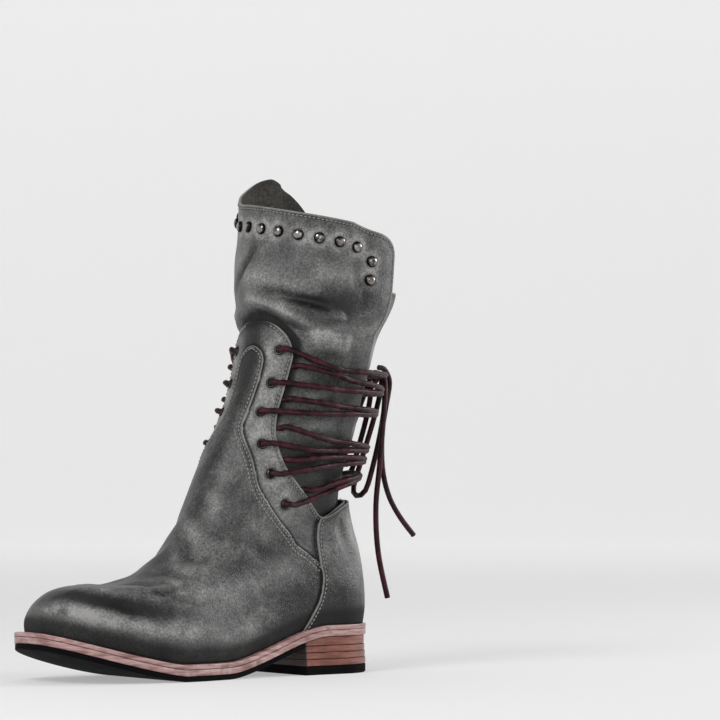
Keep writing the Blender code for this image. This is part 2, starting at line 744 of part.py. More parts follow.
def build_upper(parts, cutters, holes, root, finishes):
    """Hollow upper, open under the foot and round the back of the leg, and the counter on its heel."""
    foot_rows = np.linspace(0.0, 9.0, 12)
    rows = np.concatenate([foot_rows, np.linspace(9.9, UPPER_TOP_ROW, 4)])
    side_turns = np.linspace(FRONT_SHARE, BACK_SHARE, 6, endpoint=False)
    half = np.concatenate(
        [np.linspace(0.0, FRONT_SHARE, 7, endpoint=False), side_turns, np.linspace(BACK_SHARE, 1.0, 7)]
    )
    turns = np.concatenate([half, (2.0 - half[1:-1])[::-1]])
    mesh = sheet_mesh("upper", leg_grid(rows, wrapped(turns)), closed=True)
    stand_on_welt(mesh, len(turns))
    upper = add_object("upper", mesh, parts, root, finishes["leather"])
    thicken(upper, UPPER_WALL)
    cut_by(upper, "eyelet holes", holes)
    for side, name in ((1.0, "outer_opening"), (-1.0, "inner_opening")):
        opening = as_cutter(add_object(name, opening_prism(name, side), cutters, root))
        cut_by(upper, name, opening)
    recess = as_cutter(add_object("quarter_recess", quarter_recess("quarter_recess"), cutters, root))
    thicken(recess, RECESS_REACH + QUARTER_STEP)
    cut_by(upper, "quarter recess", recess)

    heel_turns = turns[np.abs(turns - 1.0) < COUNTER_REACH]
    grid = leg_grid(foot_rows[:-1], wrapped(heel_turns), 1.5 * GAP + COUNTER_THICK)
    mesh = sheet_mesh("counter", grid, closed=False)
    stand_on_welt(mesh, len(heel_turns))
    counter = add_object("counter", mesh, parts, root, finishes["leather"])
    thicken(counter, COUNTER_THICK)
    edge = [tuple(p) for p in smooth_line(COUNTER_EDGE, 19)]
    top = [tuple(p) for p in opening_edge(1.0) if p[0] < OPENING_EDGE_LOW and p[1] < CUT_HEEL_TOP]
    outline = [*edge, (CUT_BACK, edge[-1][1]), *[(x, z - COUNTER_DROP) for x, z in top[::-1]]]
    prism = side_prism("counter_outline", outline, 2.0 * CUT_HALF_WIDTH)
    keep = as_cutter(add_object("counter_outline", prism, cutters, root))
    cut_by(counter, "counter outline", keep, "INTERSECT")


def fold_line(turn):
    """Height at which the sleeve comes out over the top line of the quarters."""
    beside = smooth(np.abs(turn - LEG_TWIST) / TOP_LINE_REACH)
    return TOP_LINE_FRONT + (TOP_LINE_SIDE - TOP_LINE_FRONT) * beside


def fold_offset(z, turn):
    """How far the sleeve bulges over the quarters at a height and turn."""
    rear = smooth((np.abs(turn - LEG_TWIST) - FOLD_FRONT_END) / (FOLD_REAR_FROM - FOLD_FRONT_END))
    heights = [row[0] for row in FOLD_ROWS]
    position = np.interp(z - fold_line(turn), heights, np.arange(len(heights)))
    front = table_value(FOLD_ROWS, FOLD_COLUMNS.index("front"), position)
    back = table_value(FOLD_ROWS, FOLD_COLUMNS.index("rear"), position)
    flap = FLAP_FLARE * smooth((np.abs(turn) - FLAP_FROM) / (SHAFT_REAR - FLAP_FROM))
    flap = flap * smooth((z - FLAP_FOOT) / (FLAP_TOP - FLAP_FOOT)) * (np.abs(turn) < 0.5 * (1.0 + SHAFT_REAR))
    return front + (back - front) * rear + flap


def shaft_offset(z, turn):
    """Distance of the sleeve's outer face from the leg's form; below the fold it is inside the upper."""
    hem = HEM_INSET * smooth((HEM_INSET_TOP - z) / (HEM_INSET_TOP - HEM_FOOT))
    return fold_offset(z, turn) - hem - UPPER_WALL - 1.5 * GAP


def collar_height(turn):
    """Edge of the collar at a turn."""
    position = np.interp(turn, [row[0] for row in COLLAR_ROWS], np.arange(len(COLLAR_ROWS)))
    return table_value(COLLAR_ROWS, COLLAR_COLUMNS.index("height"), position)


def hem_height(turn):
    """Hidden lower edge of the sleeve, below the laced opening."""
    rear = smooth((np.abs(turn) - HEM_FRONT_END) / (HEM_REAR_FROM - HEM_FRONT_END))
    return HEM_FOOT + HEM_FRONT_RISE * (1.0 - rear)


def shaft_point(z, turn, offset=0.0):
    row = row_at_height(z, turn)
    return leg_surface(row, turn, shaft_offset(z, turn) + offset)


def shaft_normal(z, turn):
    """Outward normal of the sleeve, bulge included."""
    around = shaft_point(z, turn + 0.01) - shaft_point(z, turn - 0.01)
    up = shaft_point(z + 1.0, turn) - shaft_point(z - 1.0, turn)
    normal = np.cross(around, up)
    return normal / np.linalg.norm(normal, axis=-1, keepdims=True)


def gusset_offset(z, turn):
    """Distance of the gusset's outer face from the leg's form; its top stands away behind."""
    flare = smooth((np.abs(turn) - GUSSET_FLARE_FROM) / (GUSSET_FLARE_FULL - GUSSET_FLARE_FROM))
    flare = flare * smooth((z - GUSSET_FLARE_FOOT) / (GUSSET_TOP - GUSSET_FLARE_FOOT))
    hem = HEM_INSET * smooth((HEM_INSET_TOP - z) / (HEM_INSET_TOP - HEM_FOOT))
    return GUSSET_FLARE * flare - hem - UPPER_WALL - SHAFT_WALL - 3.5 * GAP


def build_shaft(parts, root, finishes):
    """Sleeve with two rounded flaps behind, and the gusset that closes the gap between them."""
    grid = []
    for below, above in SHAFT_LEVELS:
        turns = np.linspace(-SHAFT_REAR, SHAFT_REAR, SHAFT_COLUMNS)
        for _ in range(3):
            hem, fold, collar = hem_height(turns), fold_line(turns), collar_height(turns)
            heights = hem + (fold - hem) * below + (collar - fold) * above
            into_corner = np.clip(COLLAR_CORNER - (collar - heights)[[0, -1]].mean(), 0.0, COLLAR_CORNER)
            bite = COLLAR_CORNER - math.sqrt(COLLAR_CORNER**2 - into_corner**2)
            reach = SHAFT_REAR - bite / LENGTH_OF_TURN
            turns = np.linspace(-reach, reach, SHAFT_COLUMNS)
        grid.append(shaft_point(heights, turns))
    mesh = sheet_mesh("shaft", np.array(grid), closed=False)
    shaft = add_object("shaft", mesh, parts, root, finishes["leather"])
    thicken(shaft, SHAFT_WALL)

    turns = np.linspace(GUSSET_SHARE, 2.0 - GUSSET_SHARE, 15)
    heights = np.linspace(GUSSET_FOOT, GUSSET_TOP, 9)
    z, turn = np.meshgrid(heights, wrapped(turns), indexing="ij")
    grid = leg_surface(row_at_height(z, turn), turn, gusset_offset(z, turn))
    gusset = add_object("gusset", sheet_mesh("gusset", grid, closed=False), parts, root, finishes["leather"])
    thicken(gusset, GUSSET_WALL)


# Eyelets, studs and lace


def eyelet_spots():
    """Turn and ring of each eyelet: outer quarter first, from the top."""
    x, z = np.array(EYELET_PLACES, float).T
    outer = turn_at(x, z, 1.0, 2.0)
    turn = 2.0 * leg_middle(z) - outer[:, 0]
    return {1.0: outer, -1.0: np.stack([turn, row_at_height(z, turn, 2.0)], axis=-1)}


def build_eyelets(parts, cutters, root, finishes, spots):
    """Metal eyelets in the quarters. Returns the collection of the holes that they sit in."""
    top = EYELET_SEAT + EYELET_FLANGE
    foot = EYELET_SEAT - EYELET_BARREL_DEPTH
    profile = (
        (EYELET_BORE, top),
        (EYELET_RADIUS - EYELET_BEVEL, top),
        (EYELET_RADIUS, EYELET_SEAT),
        (EYELET_BARREL, EYELET_SEAT),
        (EYELET_BARREL, foot),
        (EYELET_BORE, foot),
        (EYELET_BORE, top),
    )
    shared = turned_mesh("eyelet", profile, EYELET_SIDES)
    holes = bpy.data.collections.new("eyelet_holes")
    cutters.children.link(holes)
    for side, word in ((1.0, "outer"), (-1.0, "inner")):
        for number, (turn, row) in enumerate(spots[side], start=1):
            matrix = facing(leg_surface(row, turn, -QUARTER_STEP), leg_normal(row, turn))
            eyelet = add_object(f"eyelet_{word}_{number}", shared, parts, root, finishes["metal"])
            eyelet.matrix_local = matrix
            bpy.ops.mesh.primitive_cylinder_add(
                vertices=EYELET_SIDES, radius=(EYELET_BARREL + GAP) * MM, depth=EYELET_HOLE_DEPTH * MM
            )
            hole = bpy.context.active_object
            hole.name = f"eyelet_hole_{word}_{number}"
            for owner in list(hole.users_collection):
                owner.objects.unlink(hole)
            holes.objects.link(hole)
            hole.parent = root
            hole.matrix_local = matrix
            as_cutter(hole)
    return holes


def stud_spots():
    """Name, height and turn of each stud round the collar."""
    turns = np.linspace(-SHAFT_REAR, SHAFT_REAR, 801)
    line = shaft_point(collar_height(turns) - STUD_BELOW_EDGE, turns)
    run = np.concatenate([[0.0], np.cumsum(np.linalg.norm(np.diff(line, axis=0), axis=1))])
    middle = np.interp(0.0, turns, run) + STUD_SHIFT
    spots = []
    for number in range(-STUDS_BESIDE_FRONT, STUDS_BESIDE_FRONT + 1):
        turn = float(np.interp(middle + number * STUD_PITCH, run, turns))
        word = "outer" if number > 0 else "inner"
        name = f"stud_{word}_{abs(number)}" if number else "stud_front"
        spots.append((name, float(collar_height(turn)) - STUD_BELOW_EDGE, turn))
    for number, (drop, inset) in enumerate(REAR_STUDS, start=STUDS_BESIDE_FRONT + 1):
        for word, place in (("outer", run[-1] - inset), ("inner", inset)):
            turn = float(np.interp(place, run, turns))
            spots.append((f"stud_{word}_{number}", float(collar_height(turn)) - drop, turn))
    return spots


def build_studs(parts, root, finishes):
    """Domed studs on a short rim, round the collar."""
    angles = np.linspace(0.5 * math.pi, 0.0, 3)
    rim = STUD_SEAT + STUD_RIM
    dome = [(STUD_RADIUS * math.cos(a), rim + STUD_HEIGHT * math.sin(a)) for a in angles]
    profile = [(0.0, dome[0][1]), *dome[1:], (STUD_RADIUS, STUD_SEAT), (0.0, STUD_SEAT)]
    shared = turned_mesh("stud", profile, STUD_SIDES)
    for name, height, turn in stud_spots():
        stud = add_object(name, shared, parts, root, finishes["stud"])
        stud.matrix_local = facing(shaft_point(height, turn), shaft_normal(height, turn))


def lace_surface(z, turn, lift):
    """Middle of a lace lying over the leg at a height and turn, clear of the sleeve and gusset."""
    row = row_at_height(z, turn)
    under = np.maximum(shaft_offset(z, turn), gusset_offset(z, turn))
    free = np.maximum(under, -QUARTER_STEP)
    slack = LACE_SLACK * smooth((np.abs(turn) - LACE_SLACK_FROM) / (1.0 - LACE_SLACK_FROM))
    return leg_surface(row, turn, free + LACE_RADIUS + lift + slack)


def strand_points(start, end, crossing):
    """Lace from one (turn, height) to another round the back, by way of a row of the crossings."""
    turn_a, turn_b = start[0], end[0] % 2.0
    share = np.linspace(0.0, 1.0, 2 * CROSSING_STEPS + 1)
    turns = turn_a + (turn_b - turn_a) * share
    ends = start[1] + (end[1] - start[1]) * share
    middle = 0.5 * (start[1] + end[1])
    middle_height, sag_share = crossing
    from_end = np.minimum(share, 1.0 - share)
    sag = (1.0 - np.exp(-from_end / sag_share)) / (1.0 - math.exp(-0.5 / sag_share))
    heights = ends + (middle_height - middle) * sag
    lift = GAP + LACE_LIFT * smooth(from_end / LACE_LIFT_SHARE)
    return lace_surface(heights, wrapped(turns), lift)


def eyelet_mouth(spots, side, number):
    """Turn and height where a strand starts, just behind an eyelet."""
    turn, _ = spots[side][number]
    return turn + side * MOUTH_TURN, EYELET_PLACES[number][1]


def under_edge(spots, side, number):
    """Turn and height where a strand slips under the edge of a quarter, below an eyelet."""
    turn, _ = spots[side][number]
    return turn + side * EDGE_TURN, EYELET_PLACES[number][1] - EDGE_DROP


def build_lace(parts, cutters, root, finishes, spots):
    """Crossings and top bar round the back, then the knot, loops and free ends behind them."""
    outer, inner = 1.0, -1.0
    for number, crossing in enumerate(CROSSING_ROWS):
        strands = (
            (eyelet_mouth(spots, outer, number + 1), under_edge(spots, inner, number)),
            (under_edge(spots, outer, number), eyelet_mouth(spots, inner, number + 1)),
        )
        name = f"lace_cross_{number + 1}"
        meshes = [tube_mesh(name, strand_points(a, b, crossing)) for a, b in strands]
        cross = add_object(name, meshes[0], parts, root, finishes["lace"])
        other = as_cutter(add_object(f"{name}_other", meshes[1], cutters, root))
        cut_by(cross, "other strand", other, "UNION")
    top = strand_points(eyelet_mouth(spots, outer, 0), eyelet_mouth(spots, inner, 0), TOP_BAR_ROW)
    add_object("lace_top_bar", tube_mesh("lace_top_bar", top), parts, root, finishes["lace"])

    side = top[CROSSING_STEPS, 1] + KNOT_SIDE
    behind = [np.interp(-side, -top[:, 1], top[:, axis]) for axis in range(3)]
    middle = np.array(behind) - np.array((LACE_RADIUS + 0.5 * KNOT_SIZE[0] + GAP, 0.0, 0.0))
    bpy.ops.mesh.primitive_uv_sphere_add(segments=12, ring_count=8, radius=0.5)
    knot = bpy.context.active_object
    knot.name = "lace_knot"
    knot.data.transform(Matrix.Diagonal((*[size * MM for size in KNOT_SIZE], 1.0)))
    knot.data.transform(Matrix.Translation(Vector(middle) * MM))
    knot.data.shade_smooth()
    for owner in list(knot.users_collection):
        owner.objects.unlink(knot)
    parts.objects.link(knot)
    knot.parent = root
    knot.data.materials.append(finishes["lace"])
    for name, route, count in FREE_LACE:
        line = smooth_line(route, count) + middle
        add_object(name, tube_curve(name, line), parts, root, finishes["lace"])


def main():
    for obj in list(bpy.data.objects):
        bpy.data.objects.remove(obj)
    parts, cutters = new_collection("lace_up_boot"), new_collection("cutters")
    root = bpy.data.objects.new("boot_frame", None)
    parts.objects.link(root)
    root.location = (-BOX_MIDDLE_X * MM, -BOX_MIDDLE_Y * MM, 0.0)
    finishes = {
        "leather": finish_of("grey_leather", LEATHER_GREY, 0.5),
        "welt": finish_of("welt_leather", WELT_BROWN, 0.5),
        "heel": finish_of("stacked_leather", HEEL_BROWN, 0.5),
        "rubber": finish_of("black_rubber", RUBBER_BLACK, 0.6),
        "insole": finish_of("insole_leather", INSOLE_TAN, 0.7),
        "lace": finish_of("waxed_lace", LACE_BROWN, 0.45),
        "metal": finish_of("eyelet_metal", DARK_METAL, 0.35, 1.0),
        "stud": finish_of("stud_metal", DARK_METAL, 0.25, 1.0),
    }
    spots = eyelet_spots()
    build_sole(parts, root, finishes)
    build_heel(parts, root, finishes)
    holes = build_eyelets(parts, cutters, root, finishes, spots)
    build_upper(parts, cutters, holes, root, finishes)
    build_shaft(parts, root, finishes)
    build_studs(parts, root, finishes)
    build_lace(parts, cutters, root, finishes, spots)


main()
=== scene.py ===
"""Looks of the left lace-up boot: leather panels, stacked sole, eyelets, studs, stitches and lace.

Sizes are in millimetres in the boot's own frame, x from the back of the heel to the toe, +Y to the
outer side and z up from the floor. placed() turns them into the scene's metres.
"""

import math
from functools import lru_cache

import bmesh
import bpy
import numpy as np
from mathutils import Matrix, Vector
from mathutils.bvhtree import BVHTree
from mathutils.kdtree import KDTree


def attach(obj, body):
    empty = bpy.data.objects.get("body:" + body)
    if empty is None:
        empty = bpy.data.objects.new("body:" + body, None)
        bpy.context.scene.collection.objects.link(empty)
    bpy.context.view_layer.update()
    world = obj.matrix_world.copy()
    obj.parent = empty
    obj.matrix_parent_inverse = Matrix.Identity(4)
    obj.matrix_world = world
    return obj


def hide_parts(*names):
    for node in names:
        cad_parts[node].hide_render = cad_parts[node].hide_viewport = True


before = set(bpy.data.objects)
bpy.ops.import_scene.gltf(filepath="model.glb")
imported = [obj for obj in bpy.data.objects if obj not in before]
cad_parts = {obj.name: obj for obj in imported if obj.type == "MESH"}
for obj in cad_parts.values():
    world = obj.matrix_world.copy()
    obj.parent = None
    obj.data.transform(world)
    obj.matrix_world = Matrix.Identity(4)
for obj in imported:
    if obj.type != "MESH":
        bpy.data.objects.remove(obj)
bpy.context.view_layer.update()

MM = 0.001
GAP = 0.3
BOX_MIDDLE = np.array((120.8, -0.4, 0.0))
BODY = "root"
SIDES = (1.0, -1.0)
SHARP_ANGLE = 45.0
TUBE_SHARP_ANGLE = 60.0
HALVINGS = 24

# Sole and heel
WELT_THICK = 3.0
MIDSOLE_THICK = 4.0
OUTSOLE_THICK = 3.5
INSOLE_THICK = 2.5
HEEL_SEAT = 33.0
FOREFOOT_TOP = OUTSOLE_THICK + GAP + MIDSOLE_THICK + GAP + WELT_THICK
ARCH_START = 45.0
ARCH_END = 136.0
SPRING_START = 173.0
SPRING_END = 268.0
SPRING_BEND = 1.27
TOE_SPRING = 23.6
HEEL_BREAST = 68.0
TOP_PIECE_THICK = 5.8
LIFT_COUNT = 4
LIFT_THICK = 4.2
LIFT_FLARE = 0.35
LIFT_INSET = 0.25
LIFT_ROUND = (0.4, 0.35)
# Rounded rim of a sole plate: drop from its face and inset
PLATE_ROUNDS = ((0.0, 0.4), (0.12, 0.12), (0.4, 0.0))
PLATE_SHARP = 38.0
PLATE_POINTS = 150
WELD = 2e-5

# Leather
UPPER_WALL = 2.2
QUARTER_STEP = 0.9
QUARTER_LAP = 6.0
STEP_EASE = (2.5, 3.0)
COUNTER_THICK = 1.2
STITCH_INSET = 2.4
STITCH_ROWS_APART = 2.7
STITCH_PITCH = 2.9
STITCH_LENGTH = 2.1
STITCH_RADIUS = 0.5
STITCH_PROUD = 0.12
STITCH_OFF = 0.8
STITCH_SLACK = 1.0
QUARTER_STITCH_TOP = 236.0
SHAFT_WALL = 1.6
GUSSET_WALL = 1.4
LAP_SUNK = 0.25
EDGE_ROLL = 0.35
COUNTER_ROLL = 0.3
COUNTER_SHORT = 0.4
ROLL_REACH = 0.7
EDGE_PITCH = 0.4
FAR = 50.0
# Rows of the fine grid of the upper, and its columns along front, side and back
PANEL_ROWS = 120
PANEL_COLUMNS = (62, 76, 34)
PANEL_SPREAD = (0.0, 0.3, 0.6, 1.0)
# Soft rings round each eyelet and stud: strength, distance from its middle and reach
PUCKER_RINGS = ((0.5, 5.5, 2.0), (-0.5, 0.0, 3.0))
STAY_TONES = ((1.1, 0.0, 11.0), (-2.4, 0.0, 4.0))
STUD_TONES = ((0.7, 5.5, 2.5),)

# Left-foot shape of the last
TOE_SWING = 5.0
BALL_SKEW = 9.0
WAIST_PINCH = 4.0
FOOT_ROWS = 7.0
FRONT_SHARE = 0.40
BACK_SHARE = 0.64

# Rings of the last and leg, from the feather line up
LAST_COLUMNS = (
    "back_x", "back_z", "front_x", "front_z", "ball", "waist", "heel",
    "back_cap", "front_cap", "square", "cling",
)
LAST_ROWS = (
    (4.0, 33.4, 256.5, 31.6, 42.5, 31.5, 28.5, 30, 74, 2.6, 1.00),
    (3.0, 45.0, 257.0, 42.0, 45.5, 35.0, 31.0, 32, 76, 2.5, 1.00),
    (3.5, 58.0, 251.0, 52.5, 44.5, 35.5, 31.0, 32, 74, 2.4, 0.95),
    (5.0, 72.0, 239.0, 60.0, 40.5, 34.0, 29.5, 31, 68, 2.3, 0.80),
    (7.5, 85.0, 223.0, 62.5, 36.5, 32.5, 27.8, 30, 60, 2.2, 0.60),
    (11.0, 97.0, 203.0, 61.5, 34.0, 31.5, 26.3, 29, 52, 2.1, 0.40),
    (13.5, 107.0, 180.0, 67.0, 33.0, 31.0, 25.5, 28, 48, 2.0, 0.20),
    (15.0, 115.5, 158.5, 83.0, 32.5, 31.0, 25.5, 28, 46, 2.0, 0.00),
    (15.5, 123.0, 143.5, 105.0, 32.8, 31.5, 26.5, 29, 46, 2.0, 0.00),
    (14.0, 132.0, 132.5, 129.0, 34.0, 32.8, 28.5, 30, 47, 2.0, 0.00),
    (10.5, 144.0, 119.5, 155.0, 36.0, 35.0, 31.5, 32, 46, 2.0, 0.00),
    (4.5, 166.0, 104.0, 184.0, 39.0, 38.5, 36.0, 35, 44, 2.0, 0.00),
    (-4.5, 200.0, 94.5, 214.0, 42.5, 42.5, 41.0, 38, 42, 2.0, 0.00),
    (-12.0, 240.0, 89.0, 245.0, 46.0, 46.5, 46.0, 42, 43, 2.0, 0.00),
    (-17.0, 282.0, 86.0, 282.0, 49.0, 50.0, 49.0, 44, 44, 2.0, 0.00),
    (-19.5, 350.0, 83.5, 350.0, 51.5, 52.5, 51.5, 45, 45, 2.0, 0.00),
)
LEG_ROW = 6.0
TOP_ROW = len(LAST_ROWS) - 1.0
UPPER_TOP_ROW = 13.2
# Margin of the sole beyond the upper, along x
MARGIN_ROWS = ((0.0, 3.6), (55.0, 4.0), (110.0, 4.6), (180.0, 5.8), (262.0, 7.0))
LEG_TWIST = 0.036
TWIST_FROM = 110.0
TWIST_FULL = 160.0

# Edge of the laced opening and edge of the counter, seen from the side
OPENING_EDGE = (
    (110, 246), (97, 243), (90.5, 240.5), (84.5, 233.5), (80, 224.5), (78.5, 214), (81, 203),
    (84.5, 190), (90, 172), (91, 157), (85, 140), (72.5, 127), (57, 112.5), (49.5, 106), (43, 107),
    (32, 112.5), (15, 117), (-20, 121),
)
OPENING_EDGE_LOW = 49.5
COUNTER_EDGE = (
    (49.5, 107), (53, 101), (54.5, 89), (54, 76), (52.5, 65), (55.5, 52), (62, 40.5), (72, 24),
)
COUNTER_POINTS = 60
# How the two edges close to outlines, round the back of the leg and of the heel
OPENING_BACK = -60.0
OPENING_FRONT = 150.0
OPENING_TOP = 400.0
COUNTER_SURROUND = ((-40.0, 24.0), (-40.0, 130.0), (49.5, 130.0))
# Seam where the vamp laps over the quarters: height and turn from the middle of the laced part
SEAM_ROWS = (
    (221.0, 0.0), (219.5, 0.028), (216.0, 0.055), (211.0, 0.071), (198.0, 0.074), (184.0, 0.071),
    (168.0, 0.077), (158.0, 0.12), (145.0, 0.195), (124.5, 0.305), (109.0, 0.43), (95.0, 0.53),
    (83.0, 0.585), (74.0, 0.61),
)
STRIP_FOOT = 165.0
EYELET_PLACES = ((85, 217.5), (90.5, 195.5), (98, 176.5), (100.5, 155), (96, 135), (84, 114.5))
EYELET_RADIUS = 3.5
EYELET_BORE = 1.9
EYELET_SEAT = 0.35
EYELET_FLANGE = 0.8
EYELET_LIP = 0.7
# Way of a lace up through an eyelet: turn from its middle, and height
EYELET_STEPS = ((0.0, -4.0), (0.0, -0.5), (0.012, 1.6))

# Shaft and gusset
SHAFT_REAR = 0.75
COLLAR_CORNER = 17.0
# Height of the collar by turn
COLLAR_ROWS = (
    (-0.80, 320.0), (-0.60, 334.0), (-0.40, 337.0), (-0.25, 326.0), (-0.12, 317.5), (0.0, 315.0),
    (0.20, 309.0), (0.40, 303.0), (0.60, 298.5), (0.80, 295.0),
)
FLAP_FLARE = 5.0
FLAP_FROM = 0.50
FLAP_FOOT = 215.0
FLAP_TOP = 260.0
HEM_FOOT = 102.0
HEM_FRONT_RISE = 55.0
HEM_INSET = 1.6
HEM_INSET_TOP = 128.0
HEM_RISE = (0.15, 0.35)
# Bulge of the sleeve: height over the fold, and how far it stands out in front and behind
FOLD_ROWS = (
    (-60.0, 0.0, 0.0), (1.5, 0.0, 0.0), (3.6, 5.0, 1.3), (7.5, 9.0, 2.9), (17.0, 10.8, 3.8),
    (31.0, 9.8, 3.6), (47.0, 7.0, 3.0), (64.0, 5.2, 2.6), (95.0, 4.8, 2.6),
)
FOLD_EASE = 1.8
FOLD_EASE_HEIGHT = 18.0
# Where each change begins and how far it goes on, in turns from the middle or in height over the fold
FOLD_REACH = 0.30
FOLD_REAR = (0.10, 0.50)
FOLD_BESIDE = (0.15, 0.12)
INNER_SLUMP = 0.5
SLUMP_TURN = -0.20
SLUMP_REACH = 0.15
SLUMP_FADE = (12.0, 30.0)
DENT_FADE = (1.0, 6.0)
DENT_FADE_HEIGHT = 2.0
DENT_BESIDE = (0.20, 0.08)
# Painted shadow along the sleeve's fold: where beside the middle it clears, how far below the fold it counts,
# where it begins and how much it clears
TUCK_BESIDE = (0.10, 0.25)
TUCK_DEPTH = 4.0
TUCK_START = 0.4
TUCK_CLEAR = 13.0
# Top line of the quarters: its heights, how it meets the laced edge and the strip, and its shade
TOP_LINE_FRONT = 242.0
TOP_LINE_SIDE = 223.0
TOP_LINE_ROUND = 8.0
TOP_LINE_DROP = 1.5
TOP_LINE_END = (0.095, 0.06)
TOP_LINE_CLEAR = 60.0
TOP_LINE_DARK = 0.24
# Gusset: where it begins, how its top stands away, and its ripples
GUSSET_SHARE = 0.60
GUSSET_FOOT = 100.0
GUSSET_TOP = 258.0
GUSSET_FLARE = 12.0
GUSSET_FLARE_FROM = 0.785
GUSSET_FLARE_FULL = 0.92
GUSSET_FLARE_FOOT = 213.0
GUSSET_STEPS = 60
GUSSET_RIPPLE = 0.8
GUSSET_RIPPLE_DEPTH = 0.6
GUSSET_RIPPLE_LENGTH = 9.0
GUSSET_RIPPLE_TURN = 3.0
GUSSET_RIPPLE_FOOT = (120.0, 40.0)
GUSSET_RIPPLE_TOP = (215.0, 30.0)
# Fine grid of the sleeve
SHAFT_COLUMNS = 170
SHAFT_LOW_ROWS = 26
SHAFT_HIGH_ROWS = 90
MM_PER_TURN = 150.0
# Tones of sleeve and gusset: painted highlight and shade on the dents, a painted highlight along the fold,
# painted highlight and shade on the ripples, a lighter band on the gusset, and painted shade on the foot
# under the lace
DENT_TONE = 0.28
DENT_TONE_RANGE = (-1.1, 0.8)
FOLD_TONES = ((0.4, 8.0, 4.0),)
RIPPLE_TONE = 0.7
GUSSET_TONES = ((0.7, 192.0, 24.0),)
DARK_FOOT_TOP = 165.0
DARK_FOOT_FADE = 30.0
SHAFT_FOOT_TONE = 2.2
GUSSET_FOOT_TONE = 2.0

# Studs
STUD_RADIUS = 3.8
STUD_HEIGHT = 2.3
STUD_PITCH = 14.4
STUDS_BESIDE_FRONT = 6
STUD_BELOW_EDGE = 15.0
STUD_SHIFT = -4.5
REAR_STUDS = ((20.5, 23.0), (33.0, 23.0))

# Lace
LACE_RADIUS = 1.9
LACE_PITCH = 1.6
LACE_UNEVEN = 0.05
# Each crossing on the back, from the top, then the bar that carries the knot: its height there and
# the share of a strand over which it comes to that height
CROSSING_ROWS = ((191.0, 0.24), (177.0, 0.12), (153.0, 0.10), (146.0, 0.22), (137.0, 0.34))
TOP_BAR_ROW = (203.0, 0.08)
MOUTH_TURN = 0.045
EDGE_TURN = 0.05
EDGE_DROP = 11.0
# Way of a lace under the edge of a quarter: turn from the edge, and depth
UNDER_STEPS = ((-0.05, -5.4), (-0.01, -4.2), (0.02, -2.4))
LACE_LIFT = 1.7
LACE_LIFT_SHARE = 0.12
LACE_SLACK = 5.0
LACE_SLACK_FROM = 0.55
CROSSING_STEPS = 5
KNOT_SIZE = (8.0, 12.0, 10.0)
KNOT_SIDE = 6.0
KNOT_REACH = (1.0, 2.76, 2.76)
LONG_END = (
    (-1.5, 7.4, -1), (2, 13.5, -10), (5, 15.5, -30), (8, 15.5, -60), (11, 15, -90), (9, 15, -121),
    (1, 15, -152),
)
SHORT_END = (
    (-3.5, -1, 6), (-9, -1.2, 4.5), (-13.5, -1.5, -4), (-11, -2, -20), (-8, -2.5, -38), (-8, -2.5, -62),
    (-13, -2.5, -81), (-22, -2, -96), (-35, -2, -110),
)
FREE_ENDS = (("lace_end_long", LONG_END), ("lace_end_short", SHORT_END))
# Loops of the bow, measured from the knot: where each begins and ends, the middle of its bend and the
# side that it begins on
LOOP_BEND = 7.8
LOOP_LEAN = (0.34, 0.0, -0.94)
LOOP_START = (0.0, 6.0, -12.0)
LOOP_END = (0.0, 0.0, -14.0)
LOOP_RUN = 30.0
LOOPS = (
    ("lace_loop_outer", (-5.9, 2.0, -0.5), (-7.5, -2.5, -2.0), (15.0, 3.2, -75.0), 1.0),
    ("lace_loop_inner", (-2.0, -7.6, 0.5), (-3.0, -8.7, -5.5), (13.0, -16.5, -63.0), -1.0),
)
FREE_POINTS = 36

# Creases of the foot, worked in by wear: where each begins and ends as turn and ring, how far it
# bows between them in rings, its half width and its depth
FOOT_CREASES = (
    (0.05, 3.00, 0.36, 2.45, -0.15, 6.5, 1.5),
    (0.26, 3.85, 0.41, 3.10, 0.05, 2.6, 0.9),
    (0.28, 3.75, 0.36, 4.30, 0.05, 2.2, 0.7),
    (0.02, 5.30, 0.26, 4.40, 0.40, 4.0, 1.0),
    (-0.06, 5.70, -0.30, 3.60, 0.40, 4.5, 1.0),
    (0.10, 6.20, 0.34, 4.90, 0.30, 3.5, 0.8),
    (-0.08, 3.60, -0.36, 2.40, 0.10, 6.0, 1.3),
    (0.05, 7.60, 0.32, 6.30, -0.30, 4.5, 1.0),
    (-0.05, 7.40, -0.32, 6.40, -0.30, 4.5, 0.9),
    (0.02, 8.70, 0.26, 7.50, -0.30, 5.0, 0.9),
    (-0.02, 8.60, -0.24, 7.60, -0.30, 5.0, 0.8),
    (0.44, 1.90, 0.58, 2.10, 0.20, 7.0, 0.9),
    (-0.44, 1.90, -0.58, 2.30, 0.20, 6.0, 0.8),
    (0.40, 6.90, 0.56, 4.60, 0.10, 5.0, 0.7),
    (0.70, 6.20, 0.72, 2.80, 0.00, 5.0, 0.8),
)
